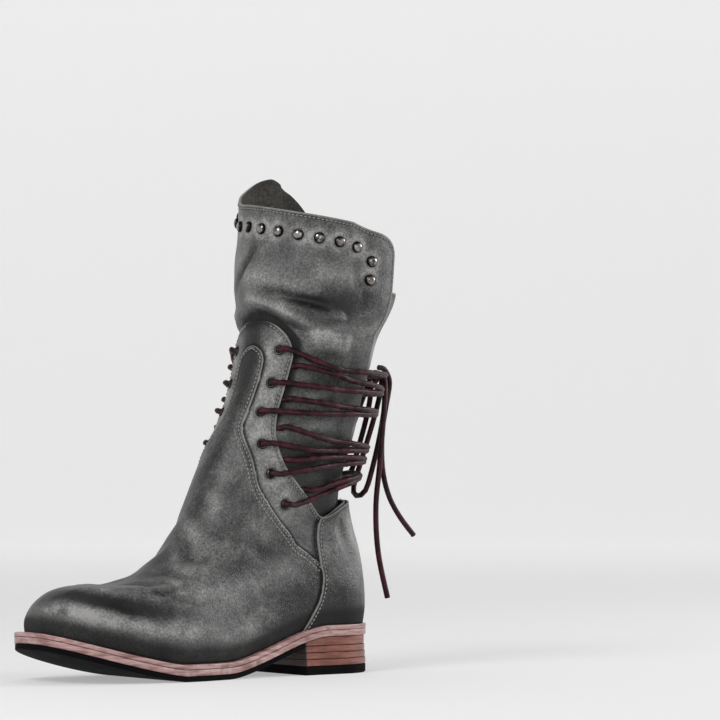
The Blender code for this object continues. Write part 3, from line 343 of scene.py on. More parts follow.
# Hollows and swellings of the sleeve: middle as turn and height, reach in turns and in height, slope
# of the long axis in turns per millimetre, and depth
SHAFT_DENTS = (
    (0.25, 250.0, 0.075, 7.0, -0.016, -4.4),
    (0.40, 246.0, 0.130, 9.0, -0.004, -3.2),
    (0.13, 262.0, 0.070, 9.0, -0.010, 1.8),
    (0.30, 268.0, 0.090, 8.0, -0.008, 1.2),
    (0.12, 246.0, 0.060, 5.0, -0.014, 1.6),
    (0.20, 238.0, 0.050, 5.0, -0.012, 1.8),
    (0.28, 228.0, 0.060, 5.0, -0.012, 3.2),
    (0.36, 223.5, 0.070, 6.5, -0.006, 4.5),
    (0.48, 221.0, 0.090, 6.5, -0.002, 4.5),
    (0.40, 211.5, 0.080, 3.5, 0.0, -1.6),
    (-0.10, 248.0, 0.100, 9.0, 0.0, -3.0),
    (-0.01, 275.0, 0.018, 13.0, 0.0032, -2.6),
    (0.04, 259.0, 0.045, 11.0, 0.0, 2.0),
    (0.62, 262.0, 0.060, 16.0, 0.0, -1.2),
    (0.40, 283.0, 0.120, 7.0, 0.004, -1.0),
    (-0.20, 262.0, 0.090, 10.0, 0.006, -2.4),
    (-0.38, 250.0, 0.120, 8.0, 0.004, -2.8),
    (-0.30, 275.0, 0.080, 9.0, 0.008, 1.8),
    (-0.24, 240.0, 0.080, 5.0, 0.012, 1.8),
    (-0.55, 270.0, 0.080, 14.0, 0.0, -1.6),
    (0.42, 205.0, 0.090, 4.0, -0.006, 1.4),
    (0.44, 197.0, 0.100, 4.0, 0.0, -1.6),
    (0.40, 188.0, 0.070, 4.5, 0.008, 2.0),
    (0.48, 178.0, 0.090, 4.0, 0.004, -1.6),
    (0.44, 168.0, 0.080, 4.5, -0.008, 2.0),
    (0.54, 157.0, 0.080, 4.0, 0.0, -1.5),
    (0.54, 147.0, 0.070, 4.0, 0.006, 1.6),
    (0.60, 137.0, 0.070, 4.0, 0.0, -1.3),
    (-0.40, 198.0, 0.080, 4.5, 0.006, 1.8),
    (-0.42, 186.0, 0.090, 4.0, 0.0, -1.6),
    (-0.42, 172.0, 0.080, 4.5, -0.006, 1.8),
    (-0.52, 158.0, 0.080, 4.0, 0.0, -1.4),
    (-0.54, 146.0, 0.070, 4.0, 0.0, 1.5),
)
# Lighter and darker patches of the foot, partly rubbed wear and partly painted highlight and shade on
# hollows, edges and under the fold: middle as turn and ring, reach in turns and rings, and tone
FOOT_TONES = (
    (0.05, 1.60, 0.060, 0.55, 0.6),
    (0.13, 1.85, 0.060, 0.50, 0.7),
    (0.20, 1.50, 0.070, 0.50, 0.5),
    (0.09, 1.60, 0.016, 0.22, -1.0),
    (0.036, 11.2, 0.035, 1.00, -0.7),
    (0.02, 2.70, 0.150, 0.40, -1.1),
    (0.22, 2.60, 0.100, 0.35, -1.3),
    (0.36, 1.80, 0.090, 0.50, 0.9),
    (0.32, 4.60, 0.120, 0.80, 0.5),
    (0.40, 3.60, 0.060, 0.60, 0.5),
    (0.26, 6.30, 0.120, 1.10, 0.5),
    (0.12, 8.40, 0.070, 1.60, 0.5),
    (-0.10, 6.40, 0.100, 1.80, -1.3),
    (0.20, 9.00, 0.040, 0.90, -0.3),
    (0.08, 10.40, 0.060, 1.00, 0.3),
    (0.01, 12.40, 0.055, 0.70, -1.7),
    (0.59, 2.30, 0.035, 0.90, -1.2),
    (0.50, 3.60, 0.060, 0.80, 0.3),
    (0.66, 5.00, 0.025, 1.00, 0.8),
    (0.71, 5.30, 0.020, 0.90, -0.8),
    (0.82, 4.40, 0.080, 2.20, 1.1),
    (0.06, 9.60, 0.070, 1.20, -0.8),
    (0.66, 1.20, 0.100, 0.90, -2.0),
    (0.53, 2.10, 0.060, 0.60, 0.6),
    (0.50, 5.60, 0.090, 1.20, -0.5),
    (-0.40, 3.20, 0.100, 1.50, 0.5),
    (-0.20, 1.80, 0.080, 0.50, 0.8),
    (-0.56, 2.10, 0.060, 0.90, -0.8),
    (-0.80, 4.40, 0.060, 1.60, 0.7),
    (-0.30, 6.80, 0.100, 1.20, 0.5),
)

# Colours: tones of the leather from dark to light, what dims or lightens it, and the dark and the light
# colour of every other material
GREY_TONES = (
    (0.006, 0.006, 0.006), (0.024, 0.025, 0.024), (0.072, 0.073, 0.071), (0.150, 0.150, 0.146),
    (0.290, 0.286, 0.278),
)
# Painted shade: near-black that the upper takes on towards the sole
SOLE_SHADE = (0.008, 0.008, 0.008)
# Painted shadow: near-black under the sleeve's fold and beside the edge of whatever laps over a panel
TUCK_SHADE = (0.006, 0.006, 0.006)
# Darker along the stitch channel
CHANNEL_DARK = (0.014, 0.014, 0.014)
WORN_EDGE = (0.25, 0.245, 0.235)
SOLE_STAIN = (0.055, 0.016, 0.012)
# Near-black of the front face of the heel
BREAST_DARK = (0.01, 0.007, 0.007)
LINING_COLOURS = ((0.026, 0.024, 0.022), (0.085, 0.078, 0.070))
WELT_COLOURS = ((0.21, 0.095, 0.088), (0.58, 0.39, 0.375))
STACK_COLOURS = ((0.085, 0.022, 0.014), (0.33, 0.115, 0.075))
INSOLE_COLOURS = ((0.20, 0.13, 0.08), (0.34, 0.24, 0.15))
RUBBER_COLOURS = ((0.0025, 0.0022, 0.003), (0.010, 0.009, 0.010))
LACE_COLOURS = ((0.013, 0.0032, 0.005), (0.062, 0.012, 0.019))
EYELET_COLOURS = ((0.02, 0.018, 0.017), (0.12, 0.11, 0.10))
STUD_COLOURS = ((0.012, 0.010, 0.009), (0.30, 0.28, 0.26))
THREAD_COLOURS = ((0.09, 0.088, 0.083), (0.34, 0.33, 0.31))
FLOOR_COLOUR = (0.5, 0.5, 0.5, 1.0)
WHITE = (1.0, 1.0, 1.0, 1.0)

# The view: level with the middle of the boot, from its outer side and a little ahead
CAMERA_AZIMUTH = 145.0
CAMERA_DISTANCE = 2.5
CAMERA_TARGET = (121.5, 1.0, 155.0)
CAMERA_LENS = 187.5
CAMERA_SHIFT = (0.2049, 0.116)
CAMERA_SENSOR = 36.0
CAMERA_CLIP = 50.0
WORLD_LIGHT = 0.08
# Floor, in metres: radius of its flat part, of the part near the boot and of the bend at its rim, and
# height of the wall round it; then how much it glows, near the boot and at the wall
SWEEP_REACH = 3.2
SWEEP_NEAR = 0.5
SWEEP_BEND = 1.0
SWEEP_TOP = 3.2
SWEEP_GLOW = (0.36, 0.52)
# Lights: turn from the camera, rise, distance, size, power, and the height that each faces
LIGHTS = (
    ("key", -32.0, 42.0, 1.8, 0.7, 13.5, 0.15),
    ("fill", 16.0, 16.0, 2.6, 1.0, 4.6, 0.15),
    ("rim", 105.0, 22.0, 1.8, 0.5, 11.5, 0.12),
    ("top", 180.0, 80.0, 2.2, 1.6, 5.5, 0.0),
)


def smooth(share):
    """Eases from 0 to 1 as share does."""
    share = np.clip(share, 0.0, 1.0)
    return share * share * (3.0 - 2.0 * share)


def rise(value, start, width):
    """Eases from 0 to 1 while value goes on from start by width."""
    return smooth((value - start) / width)


def bell(value):
    return np.exp(-(np.asarray(value, float) ** 2))


def bells(value, rows):
    """Sum of the bells of a table: strength, middle and reach."""
    return sum(strength * bell((value - middle) / reach) for strength, middle, reach in rows)


def unit(vectors):
    return vectors / np.linalg.norm(vectors, axis=-1, keepdims=True)


def run_along(line):
    """How far along a line each of its points is."""
    return np.concatenate([[0.0], np.cumsum(np.linalg.norm(np.diff(line, axis=0), axis=1))])


def table_value(rows, index, position):
    """Smooth value of one column at a position counted in rows."""
    values = np.array([row[index] for row in rows], float)
    position = np.clip(np.asarray(position, float), 0.0, len(values) - 1.0)
    low = np.clip(position.astype(int), 0, len(values) - 2)
    t = position - low
    before = values[np.maximum(low - 1, 0)]
    start, end = values[low], values[low + 1]
    after = values[np.minimum(low + 2, len(values) - 1)]
    slope_in, slope_out = (end - before) / 2.0, (after - start) / 2.0
    return (
        start * (2 * t**3 - 3 * t**2 + 1)
        + slope_in * (t**3 - 2 * t**2 + t)
        + end * (3 * t**2 - 2 * t**3)
        + slope_out * (t**3 - t**2)
    )


def last_value(name, row):
    return table_value(LAST_ROWS, LAST_COLUMNS.index(name), row)


def smooth_line(points, count):
    """Points spaced by row along a smooth curve through the points given."""
    position = np.linspace(0.0, len(points) - 1.0, count)
    return np.stack([table_value(points, axis, position) for axis in range(len(points[0]))], axis=-1)


def even_line(points, pitch):
    """The line again, with points a set pitch apart."""
    points = np.asarray(points, float)
    run = run_along(points)
    along = np.linspace(0.0, run[-1], max(2, int(run[-1] / pitch) + 1))
    return np.stack([np.interp(along, run, points[:, axis]) for axis in range(points.shape[1])], axis=-1)


def swung_line(points, count):
    """Points along the curve that four points hold: its ends and the two that pull it."""
    t = np.linspace(0.0, 1.0, count)[:, None]
    first, second, third, last = np.asarray(points, float)
    return first * (1 - t) ** 3 + 3 * second * t * (1 - t) ** 2 + 3 * third * t**2 * (1 - t) + last * t**3


def loop_line(start, end, middle, side):
    """A hanging loop: down from start, round its bend and up to end."""
    start, end, middle, lean = (np.array(place) for place in (start, end, middle, LOOP_LEAN))
    angle = np.linspace(0.0, math.pi, 40)[:, None]
    bend = middle + LOOP_BEND * (np.cos(angle) * (0.0, side, 0.0) + np.sin(angle) * lean)
    down = (start, start + np.multiply(LOOP_START, (1.0, side, 1.0)), bend[0] - LOOP_RUN * lean, bend[0])
    back = (bend[-1], bend[-1] - LOOP_RUN * lean, end + LOOP_END, end)
    line = even_line(np.concatenate([swung_line(down, 60)[:-1], bend, swung_line(back, 60)[1:]]), 0.2)
    return line[np.linspace(0, len(line) - 1, FREE_POINTS).round().astype(int)]


# The boot's form


def sole_top(x):
    """Height of the welt's upper face: heel seat, arch, tread and toe spring."""
    arch = 1.0 - rise(x, ARCH_START, ARCH_END - ARCH_START)
    spring = np.clip((x - SPRING_START) / (SPRING_END - SPRING_START), 0.0, None) ** SPRING_BEND
    return FOREFOOT_TOP + (HEEL_SEAT - FOREFOOT_TOP) * arch + TOE_SPRING * spring


def leg_point(row, turn):
    """Point of the boot's outer form. turn is 0 at the toe, +1 or -1 at the heel; plus is the outer side."""
    row, turn = np.broadcast_arrays(np.asarray(row, float), np.asarray(turn, float))
    side = np.where(turn >= 0.0, 1.0, -1.0)
    share = np.abs(turn)
    foot = np.clip(1.0 - row / FOOT_ROWS, 0.0, 1.0)
    front_x, back_x = last_value("front_x", row), last_value("back_x", row)
    front_cap = last_value("front_cap", row) + side * BALL_SKEW * foot
    back_cap = last_value("back_cap", row)
    ball_x, heel_x = front_x - front_cap, back_x + back_cap

    front_angle = np.cos(0.5 * math.pi * np.clip(share / FRONT_SHARE, 0.0, 1.0))
    back_angle = np.cos(0.5 * math.pi * np.clip((1.0 - share) / (1.0 - BACK_SHARE), 0.0, 1.0))
    along = np.clip((share - FRONT_SHARE) / (BACK_SHARE - FRONT_SHARE), 0.0, 1.0)
    x = ball_x + (heel_x - ball_x) * along + front_cap * front_angle - back_cap * back_angle

    ball, heel = last_value("ball", row), last_value("heel", row)
    waist = last_value("waist", row) - WAIST_PINCH * foot * (side < 0.0)
    width = ball + (waist - ball) * smooth(2.0 * along) + (heel - waist) * smooth(2.0 * along - 1.0)
    square = last_value("square", row)
    round_front = np.clip(1.0 - front_angle**square, 0.0, 1.0) ** (1.0 / square)
    round_back = np.sqrt(np.clip(1.0 - back_angle**2, 0.0, 1.0))
    swing = TOE_SWING * foot * rise(x, ARCH_END, SPRING_END - ARCH_END)
    y = side * width * round_front * round_back - swing

    cling = last_value("cling", row)
    share_x = (x - back_x) / (front_x - back_x)
    back_rise = last_value("back_z", row) - cling * sole_top(back_x)
    front_rise = last_value("front_z", row) - cling * sole_top(front_x)
    z = cling * sole_top(x) + back_rise * (1.0 - share_x) + front_rise * share_x
    return np.stack([x, y, z], axis=-1)


def wrapped(turn):
    """turn brought back between -1 and 1."""
    return (np.asarray(turn, float) + 1.0) % 2.0 - 1.0


def leg_normal(row, turn):
    """Outward normal of the boot's form."""
    step = 0.004
    row, turn = np.broadcast_arrays(np.asarray(row, float), np.asarray(turn, float))
    around = leg_point(row, wrapped(turn + step)) - leg_point(row, wrapped(turn - step))
    up = leg_point(np.minimum(row + step, TOP_ROW), turn) - leg_point(np.maximum(row - step, 0.0), turn)
    return unit(np.cross(around, up))


def leg_surface(row, turn, offset=0.0):
    """Point at a distance outside the boot's form."""
    offset = np.asarray(offset, float)[..., None]
    return leg_point(row, turn) + leg_normal(row, turn) * offset


def row_at_height(z, turn, low=LEG_ROW):
    """Ring that passes a height at one turn, on the leg."""
    z, turn = np.broadcast_arrays(np.asarray(z, float), np.asarray(turn, float))
    under, over = np.full(z.shape, low), np.full(z.shape, TOP_ROW)
    for _ in range(HALVINGS):
        middle = 0.5 * (under + over)
        below = leg_point(middle, turn)[..., 2] < z
        under, over = np.where(below, middle, under), np.where(below, over, middle)
    return 0.5 * (under + over)


def turn_at(x, z, side, low=0.0):
    """Turn and ring of each point of one side that is seen at (x, z) from that side."""
    x, z = np.asarray(x, float), np.asarray(z, float)
    front, back = np.zeros(x.shape), np.ones(x.shape)
    for _ in range(HALVINGS):
        turn = 0.5 * (front + back)
        row = row_at_height(z, side * turn, low)
        ahead = leg_point(row, side * turn)[..., 0] > x
        front, back = np.where(ahead, turn, front), np.where(ahead, back, turn)
    return np.stack([side * turn, row], axis=-1)


def leg_middle(z):
    """Turn of the middle of the laced part at a height."""
    return LEG_TWIST * rise(z, TWIST_FROM, TWIST_FULL - TWIST_FROM)


def off_middle(turn):
    """How far a turn is from the middle of the laced part."""
    return np.abs(turn - LEG_TWIST)


def fold_line(turn):
    """Height at which the sleeve comes out over the top line of the quarters."""
    return TOP_LINE_FRONT + (TOP_LINE_SIDE - TOP_LINE_FRONT) * rise(off_middle(turn), 0.0, FOLD_REACH)


def fold_offset(z, turn):
    """How far the sleeve bulges over the quarters at a height and turn."""
    above = z - fold_line(turn)
    slump = INNER_SLUMP * bell((turn - SLUMP_TURN) / SLUMP_REACH) * (1.0 - rise(above, *SLUMP_FADE))
    ease = FOLD_EASE * rise(off_middle(turn), *FOLD_BESIDE) * bell(above / FOLD_EASE_HEIGHT)
    heights = [row[0] for row in FOLD_ROWS]
    position = np.interp(above / (1.0 + ease), heights, np.arange(len(heights)))
    front, back = table_value(FOLD_ROWS, 1, position), table_value(FOLD_ROWS, 2, position)
    bulge = front + (back - front) * rise(off_middle(turn), *FOLD_REAR)
    flap = FLAP_FLARE * rise(np.abs(turn), FLAP_FROM, SHAFT_REAR - FLAP_FROM)
    flap = flap * rise(z, FLAP_FOOT, FLAP_TOP - FLAP_FOOT) * (np.abs(turn) < 0.5 * (1.0 + SHAFT_REAR))
    return bulge * (1.0 - slump) + flap


def hem_draw(z):
    """How far sleeve and gusset draw in towards their hidden hems."""
    return HEM_INSET * smooth((HEM_INSET_TOP - z) / (HEM_INSET_TOP - HEM_FOOT))


def shaft_offset(z, turn):
    """Distance of the sleeve's outer face from the leg's form; below the fold it is inside the upper."""
    return fold_offset(z, turn) - hem_draw(z) - UPPER_WALL - 1.5 * GAP


def collar_height(turn):
    """Edge of the collar at a turn."""
    position = np.interp(turn, [row[0] for row in COLLAR_ROWS], np.arange(len(COLLAR_ROWS)))
    return table_value(COLLAR_ROWS, 1, position)


def hem_height(turn):
    """Hidden lower edge of the sleeve, below the laced opening."""
    return HEM_FOOT + HEM_FRONT_RISE * (1.0 - rise(np.abs(turn), *HEM_RISE))


def shaft_point(z, turn, offset=0.0):
    return leg_surface(row_at_height(z, turn), turn, shaft_offset(z, turn) + offset)


def shaft_normal(z, turn):
    """Outward normal of the sleeve, bulge included."""
    around = shaft_point(z, turn + 0.01) - shaft_point(z, turn - 0.01)
    up = shaft_point(z + 1.0, turn) - shaft_point(z - 1.0, turn)
    return unit(np.cross(around, up))


def gusset_offset(z, turn):
    """Distance of the gusset's outer face from the leg's form; its top stands away behind."""
    flare = rise(np.abs(turn), GUSSET_FLARE_FROM, GUSSET_FLARE_FULL - GUSSET_FLARE_FROM)
    flare = flare * rise(z, GUSSET_FLARE_FOOT, GUSSET_TOP - GUSSET_FLARE_FOOT)
    return GUSSET_FLARE * flare - hem_draw(z) - UPPER_WALL - SHAFT_WALL - 3.5 * GAP


@lru_cache
def opening_edge(side):
    """Laced edge of one side, seen from that side."""
    edge = smooth_line(OPENING_EDGE, 8 * len(OPENING_EDGE))
    if side > 0:
        return edge
    x, z = edge.T
    turn = 2.0 * leg_middle(z) - turn_at(x, z, 1.0, 2.0)[:, 0]
    mirrored = np.where(turn < 0.0, leg_point(row_at_height(z, turn, 2.0), turn)[:, 0], x[0])
    on_leg = (x < OPENING_EDGE[1][0]) & (x > OPENING_EDGE_LOW) & (z > TWIST_FROM)
    return np.stack([np.where(on_leg, mirrored, x), z], axis=-1)


def edge_on_leg(edge, side):
    """A line drawn on the side view, as points on one side of the leg."""
    spots = turn_at(edge[:, 0], edge[:, 1], side, 0.0)
    return leg_surface(spots[:, 1], spots[:, 0])


def seam_line(side):
    """Seam of the vamp on one side, from the top of the strip down, as points on the leg."""
    height, turn = smooth_line(SEAM_ROWS, 160).T
    turn = leg_middle(height) + side * turn
    return leg_surface(row_at_height(height, turn, 2.0), turn)


def eyelet_spots():
    """Turn and ring of each eyelet: outer quarter first, from the top."""
    x, z = np.array(EYELET_PLACES, float).T
    outer = turn_at(x, z, 1.0, 2.0)
    turn = 2.0 * leg_middle(z) - outer[:, 0]
    return {1.0: outer, -1.0: np.stack([turn, row_at_height(z, turn, 2.0)], axis=-1)}


# Meshes and pieces


def placed(points):
    """Points in the boot's millimetres as scene metres."""
    return (np.asarray(points, float) - BOX_MIDDLE) * MM


def linked(name, data):
    """New object in the scene."""
    obj = bpy.data.objects.new(name, data)
    bpy.context.scene.collection.objects.link(obj)
    return obj


def add_piece(name, data, material, nodes=()):
    """Piece of the boot that rides on its one body, in place of the nodes named."""
    obj = linked(name, data)
    obj.data.materials.clear()
    obj.data.materials.append(material)
    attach(obj, BODY)
    if nodes:
        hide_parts(*nodes)
    return obj


def mesh_of(name, points, faces, fields=None, sharp_angle=SHARP_ANGLE):
    """Smooth-shaded mesh, with each named field as a vertex attribute."""
    mesh = bpy.data.meshes.new(name)
    mesh.from_pydata([tuple(p) for p in placed(points)], [], [tuple(f) for f in faces])
    mesh.validate()
    mesh.shade_smooth()
    mesh.set_sharp_from_angle(angle=math.radians(sharp_angle))
    for field, values in (fields or {}).items():
        layer = mesh.attributes.new(field, "FLOAT", "POINT")
        layer.data.foreach_set("value", np.asarray(values, np.float32))
    return mesh


def grid_faces(rows, columns, closed):
    faces = []
    for r in range(rows - 1):
        low, high = r * columns, (r + 1) * columns
        for c in range(columns if closed else columns - 1):
            after = (c + 1) % columns
            faces.append((low + c, low + after, high + after, high + c))
    return faces


def clipped(table, faces, column):
    """The part of a surface where one column of its vertex table is above zero, cut along the zero line."""
    value = table[:, column]
    inside = value > 0.0
    made, extra, kept = {}, [], []

    def crossing(a, b):
        key = (min(a, b), max(a, b))
        if key not in made:
            share = value[key[0]] / (value[key[0]] - value[key[1]])
            extra.append(table[key[0]] * (1.0 - share) + table[key[1]] * share)
            made[key] = len(table) + len(extra) - 1
        return made[key]

    for face in faces:
        count = sum(inside[list(face)])
        if count == len(face):
            kept.append(face)
        elif count:
            ring = []
            for a, b in zip(face, (*face[1:], face[0])):
                if inside[a]:
                    ring.append(a)
                if inside[a] != inside[b]:
                    ring.append(crossing(a, b))
            if len(ring) > 2:
                kept.append(tuple(ring))
    whole = np.concatenate([table, np.array(extra)]) if extra else table
    used = np.unique(np.concatenate([np.array(f) for f in kept]))
    number = np.full(len(whole), -1)
    number[used] = np.arange(len(used))
    return whole[used], [tuple(number[list(f)]) for f in kept]


def nearest(points, line):
    """Distance of each point from a line of close points, and the share of the line where it is nearest."""
    tree = KDTree(len(line))
    for index, place in enumerate(line):
        tree.insert(place, index)
    tree.balance()
    found = [tree.find(p) for p in points]
    return np.array([f[2] for f in found]), np.array([f[1] for f in found]) / (len(line) - 1.0)


def inside_outline(points, outline):
    """Which (x, z) points lie inside a closed outline."""
    x, z = points.T
    hit = np.zeros(len(points), bool)
    for (xa, za), (xb, zb) in zip(outline, np.roll(outline, -1, axis=0)):
        if za != zb:
            across = (za > z) != (zb > z)
            hit ^= across & (x < (xb - xa) * (z - za) / (zb - za) + xa)
    return hit


def leather_piece(name, points, faces, fields, wall, nodes=()):
    """Leather of a wall thickness with its lining, from the points of its outer face."""
    piece = add_piece(name, mesh_of(name, points, faces, fields), grey_leather, nodes)
    piece.data.materials.append(lining)
    solid = piece.modifiers.new("wall", "SOLIDIFY")
    solid.thickness = wall * MM
    solid.offset = -1.0
    solid.material_offset = 1


def tube_mesh(name, line, radius, sides=14):
    """Closed tube along a line of points, with low twisted ribs; radius may change along it."""
    line = np.asarray(line, float)
    count = len(line)
    radius = np.broadcast_to(radius, count)
    forward = unit(np.gradient(line, axis=0))
    across = np.cross(forward[0], (0.0, 0.0, 1.0) if abs(forward[0][2]) < 0.9 else (1.0, 0.0, 0.0))
    points = []
    angles = np.linspace(0.0, 2.0 * math.pi, sides, endpoint=False)
    for number, (place, way, size) in enumerate(zip(line, forward, radius)):
        across = across - way * np.dot(across, way)
        across /= np.linalg.norm(across)
        up = np.cross(way, across)
        ribs = size * (1.0 + 0.06 * np.cos(3.0 * angles + 1.1 * number))
        points += [place + r * (math.cos(a) * across + math.sin(a) * up) for a, r in zip(angles, ribs)]
    faces = grid_faces(count, sides, True)
    faces.append(tuple(range(sides))[::-1])
    faces.append(tuple(range((count - 1) * sides, count * sides)))
    return mesh_of(name, points, faces, sharp_angle=TUBE_SHARP_ANGLE)


def turned_points(profile, sides):
    """Points and faces of a profile of (radius, height) turned about Z; a zero radius ends in a point."""
    points, rings = [], []
    for radius, height in profile:
        if radius == 0.0:
            points.append((0.0, 0.0, height))
            rings.append([len(points) - 1] * sides)
            continue
        rings.append([len(points) + k for k in range(sides)])
        for k in range(sides):
            angle = 2.0 * math.pi * k / sides
            points.append((radius * math.cos(angle), radius * math.sin(angle), height))
    faces = []
    for upper, lower in zip(rings, rings[1:]):
        for k in range(sides):
            ring = [upper[k], lower[k], lower[(k + 1) % sides], upper[(k + 1) % sides]]
            ring = [c for n, c in enumerate(ring) if c != ring[n - 1]]
            if len(ring) > 2:
                faces.append(tuple(ring))
    return np.array(points), faces


def standing(points, place, normal):
    """Points of a turned piece, stood on a surface with its axis along the normal."""
    turn = np.array(Vector(normal).to_track_quat("Z", "Y").to_matrix())
    return points @ turn.T + place


# Materials


def set_sockets(tree, node, **inputs):
    """Sets or links sockets of a node. Names use _ for a space; input_N is socket number N."""
    for name, value in inputs.items():
        key = int(name[6:]) if name.startswith("input_") else name.replace("_", " ")
        if isinstance(value, bpy.types.NodeSocket):
            tree.links.new(value, node.inputs[key])
        else:
            node.inputs[key].default_value = value


def wire(tree, kind, props=None, **inputs):
    """New node with its properties and sockets set."""
    node = tree.nodes.new(kind)
    for name, value in (props or {}).items():
        setattr(node, name, value)
    set_sockets(tree, node, **inputs)
    return node


def math_node(tree, operation, *values):
    sockets = {f"input_{number}": value for number, value in enumerate(values)}
    return wire(tree, "ShaderNodeMath", {"operation": operation}, **sockets).outputs[0]


def weighted(tree, base, *parts):
    """base plus each value of the parts times its weight."""
    for value, weight in parts:
        base = math_node(tree, "MULTIPLY_ADD", value, weight, base)
    return base


def noise(tree, place, scale, detail=3.0, roughness=0.55):
    return wire(
        tree, "ShaderNodeTexNoise", Vector=place, Scale=scale, Detail=detail, Roughness=roughness
    ).outputs["Fac"]


def eased(tree, value, low, high, out_low=0.0, out_high=1.0):
    """value between low and high, eased to the range out_low to out_high."""
    return wire(
        tree, "ShaderNodeMapRange", {"interpolation_type": "SMOOTHSTEP"}, Value=value,
        From_Min=low, From_Max=high, To_Min=out_low, To_Max=out_high,
    ).outputs[0]


def mixed(tree, share, *colours):
    """Colour between two colours, each a socket or three numbers."""
    first, second = (c if isinstance(c, bpy.types.NodeSocket) else (*c, 1.0) for c in colours)
    node = wire(tree, "ShaderNodeMix", {"data_type": "RGBA"}, Factor=share, input_6=first, input_7=second)
    return node.outputs[2]


def ramp(tree, share, colours):
    """Colour ramp through evenly spaced colours."""
    node = wire(tree, "ShaderNodeValToRGB", Fac=share)
    elements = node.color_ramp.elements
    while len(elements) < len(colours):
        elements.new(0.5)
    for number, colour in enumerate(colours):
        elements[number].position = number / (len(colours) - 1.0)
        elements[number].color = (*colour, 1.0)
    return node.outputs["Color"]


def field(tree, name):
    return wire(tree, "ShaderNodeAttribute", {"attribute_name": name}).outputs["Fac"]


def bumped(tree, height, distance, strength=1.0, under=None):
    inputs = {"Height": height, "Distance": distance, "Strength": strength}
    if under is not None:
        inputs["Normal"] = under
    return wire(tree, "ShaderNodeBump", **inputs).outputs["Normal"]


def new_material(name):
    """Material with its shader, and the place of each point in the boot's metres."""
    material = bpy.data.materials.new(name)
    material.use_nodes = True
    tree = material.node_tree
    place = wire(tree, "ShaderNodeTexCoord").outputs["Object"]
    return material, tree, tree.nodes["Principled BSDF"], place


def leather(name, tones):
    """Distressed leather. tones run from its darkest to its lightest colour.

    The fields rim, tuck, tone and sole of a panel tell how far a point is from the panel's own edge, from
    what laps over it and from the sole, and how rubbed and how lit it is there. Beside what laps over it and
    towards the sole the colour takes painted shade; tone holds painted highlight and shade along with the
    rubbed wear.
    """
    material, tree, shader, place = new_material(name)
    cloud = noise(tree, place, 21.0, 4.0, 0.6)
    mottle = noise(tree, place, 85.0, 6.0, 0.7)
    speck = eased(tree, noise(tree, place, 680.0, 3.0, 0.7), 0.32, 0.68)
    rim, tuck = field(tree, "rim"), field(tree, "tuck")
    # Random tone and rubbed wear, with the painted highlight and shade of the tone field
    wear_and_shade = weighted(
        tree, -0.48, (cloud, 1.00), (mottle, 0.66), (speck, 0.28), (field(tree, "tone"), 0.46)
    )
    # Painted shade: the upper darkens towards the sole, where the band above the welt lies in shade
    near_sole = eased(tree, field(tree, "sole"), 8.0, 19.0, 0.88, 0.0)
    frayed_rim = weighted(tree, 0.0, (rim, 1.0), (mottle, -1.1))
    off_row = math_node(tree, "ABSOLUTE", weighted(tree, -STITCH_INSET, (rim, 1.0)))
    channel = eased(tree, off_row, 0.25, 1.1)
    colour = ramp(tree, wear_and_shade, tones)
    # Over the ramp: painted shade towards the sole and beside what laps over, paler worn rims, and a darker
    # stitch channel
    for share, tint in (
        (near_sole, SOLE_SHADE),
        (eased(tree, tuck, 0.3, 3.4, 0.92, 0.0), TUCK_SHADE),
        (eased(tree, frayed_rim, -0.4, 0.9, 0.75, 0.0), WORN_EDGE),
        (weighted(tree, 0.5, (channel, -0.5)), CHANNEL_DARK),
    ):
        colour = mixed(tree, share, colour, tint)
    dull = math_node(tree, "MAXIMUM", eased(tree, tuck, 0.5, 4.0, 0.95, 0.0), near_sole)
    rough = math_node(tree, "MAXIMUM", eased(tree, wear_and_shade, 0.1, 0.9, 0.36, 0.48), dull)
    cells = wire(tree, "ShaderNodeTexVoronoi", {"feature": "DISTANCE_TO_EDGE"}, Vector=place, Scale=720.0)
    grain = None
    for height, distance, strength in (
        (eased(tree, cells.outputs["Distance"], 0.0, 0.30), 0.00016, 0.55),
        (noise(tree, place, 1500.0, 2.0), 0.00012, 0.4),
        (mottle, 0.0016, 0.4),
        (channel, 0.0005, 0.9),
    ):
        grain = bumped(tree, height, distance, strength, grain)
    set_sockets(tree, shader, Base_Color=colour, Roughness=rough, Specular_IOR_Level=0.38, Normal=grain)
    return material


def flesh_side(name):
    """Unfinished inner face of the leather: short nap, rubbed in patches."""
    material, tree, shader, place = new_material(name)
    nap = noise(tree, place, 420.0, 5.0, 0.7)
    share = weighted(tree, -0.2, (nap, 0.7), (noise(tree, place, 30.0), 0.7))
    colour = mixed(tree, eased(tree, share, 0.3, 0.75), *LINING_COLOURS)
    relief = bumped(tree, nap, 0.0004, 0.6)
    set_sockets(tree, shader, Base_Color=colour, Roughness=0.85, Specular_IOR_Level=0.2, Normal=relief)
    return material


def sole_leather(name, colours, layer_scale, front=None):
    """Edge-finished sole leather: fine streaks along the layers, waxed and a little stained.

    Where front is given, the face there is darkened almost to black.
    """
    material, tree, shader, place = new_material(name)
    streaks = wire(tree, "ShaderNodeMapping", Vector=place, Scale=(30.0, 30.0, layer_scale))
    grain = noise(tree, streaks.outputs["Vector"], 2.0, 5.0, 0.65)
    stain = noise(tree, place, 70.0, 4.0, 0.6)
    share = weighted(tree, -0.05, (grain, 0.75), (stain, 0.35))
    colour = mixed(tree, eased(tree, share, 0.32, 0.72), *colours)
    colour = mixed(tree, eased(tree, stain, 0.56, 0.72, 0.0, 0.7), colour, SOLE_STAIN)
    if front is not None:
        along = wire(tree, "ShaderNodeSeparateXYZ", Vector=place).outputs["X"]
        at_front = eased(tree, along, (front - 1.4) * MM, (front - 0.5) * MM, 0.0, 0.88)
        colour = mixed(tree, at_front, colour, BREAST_DARK)
    rough, relief = eased(tree, stain, 0.3, 0.7, 0.28, 0.46), bumped(tree, grain, 0.0004, 0.5)
    set_sockets(tree, shader, Base_Color=colour, Roughness=rough, Normal=relief)
    return material


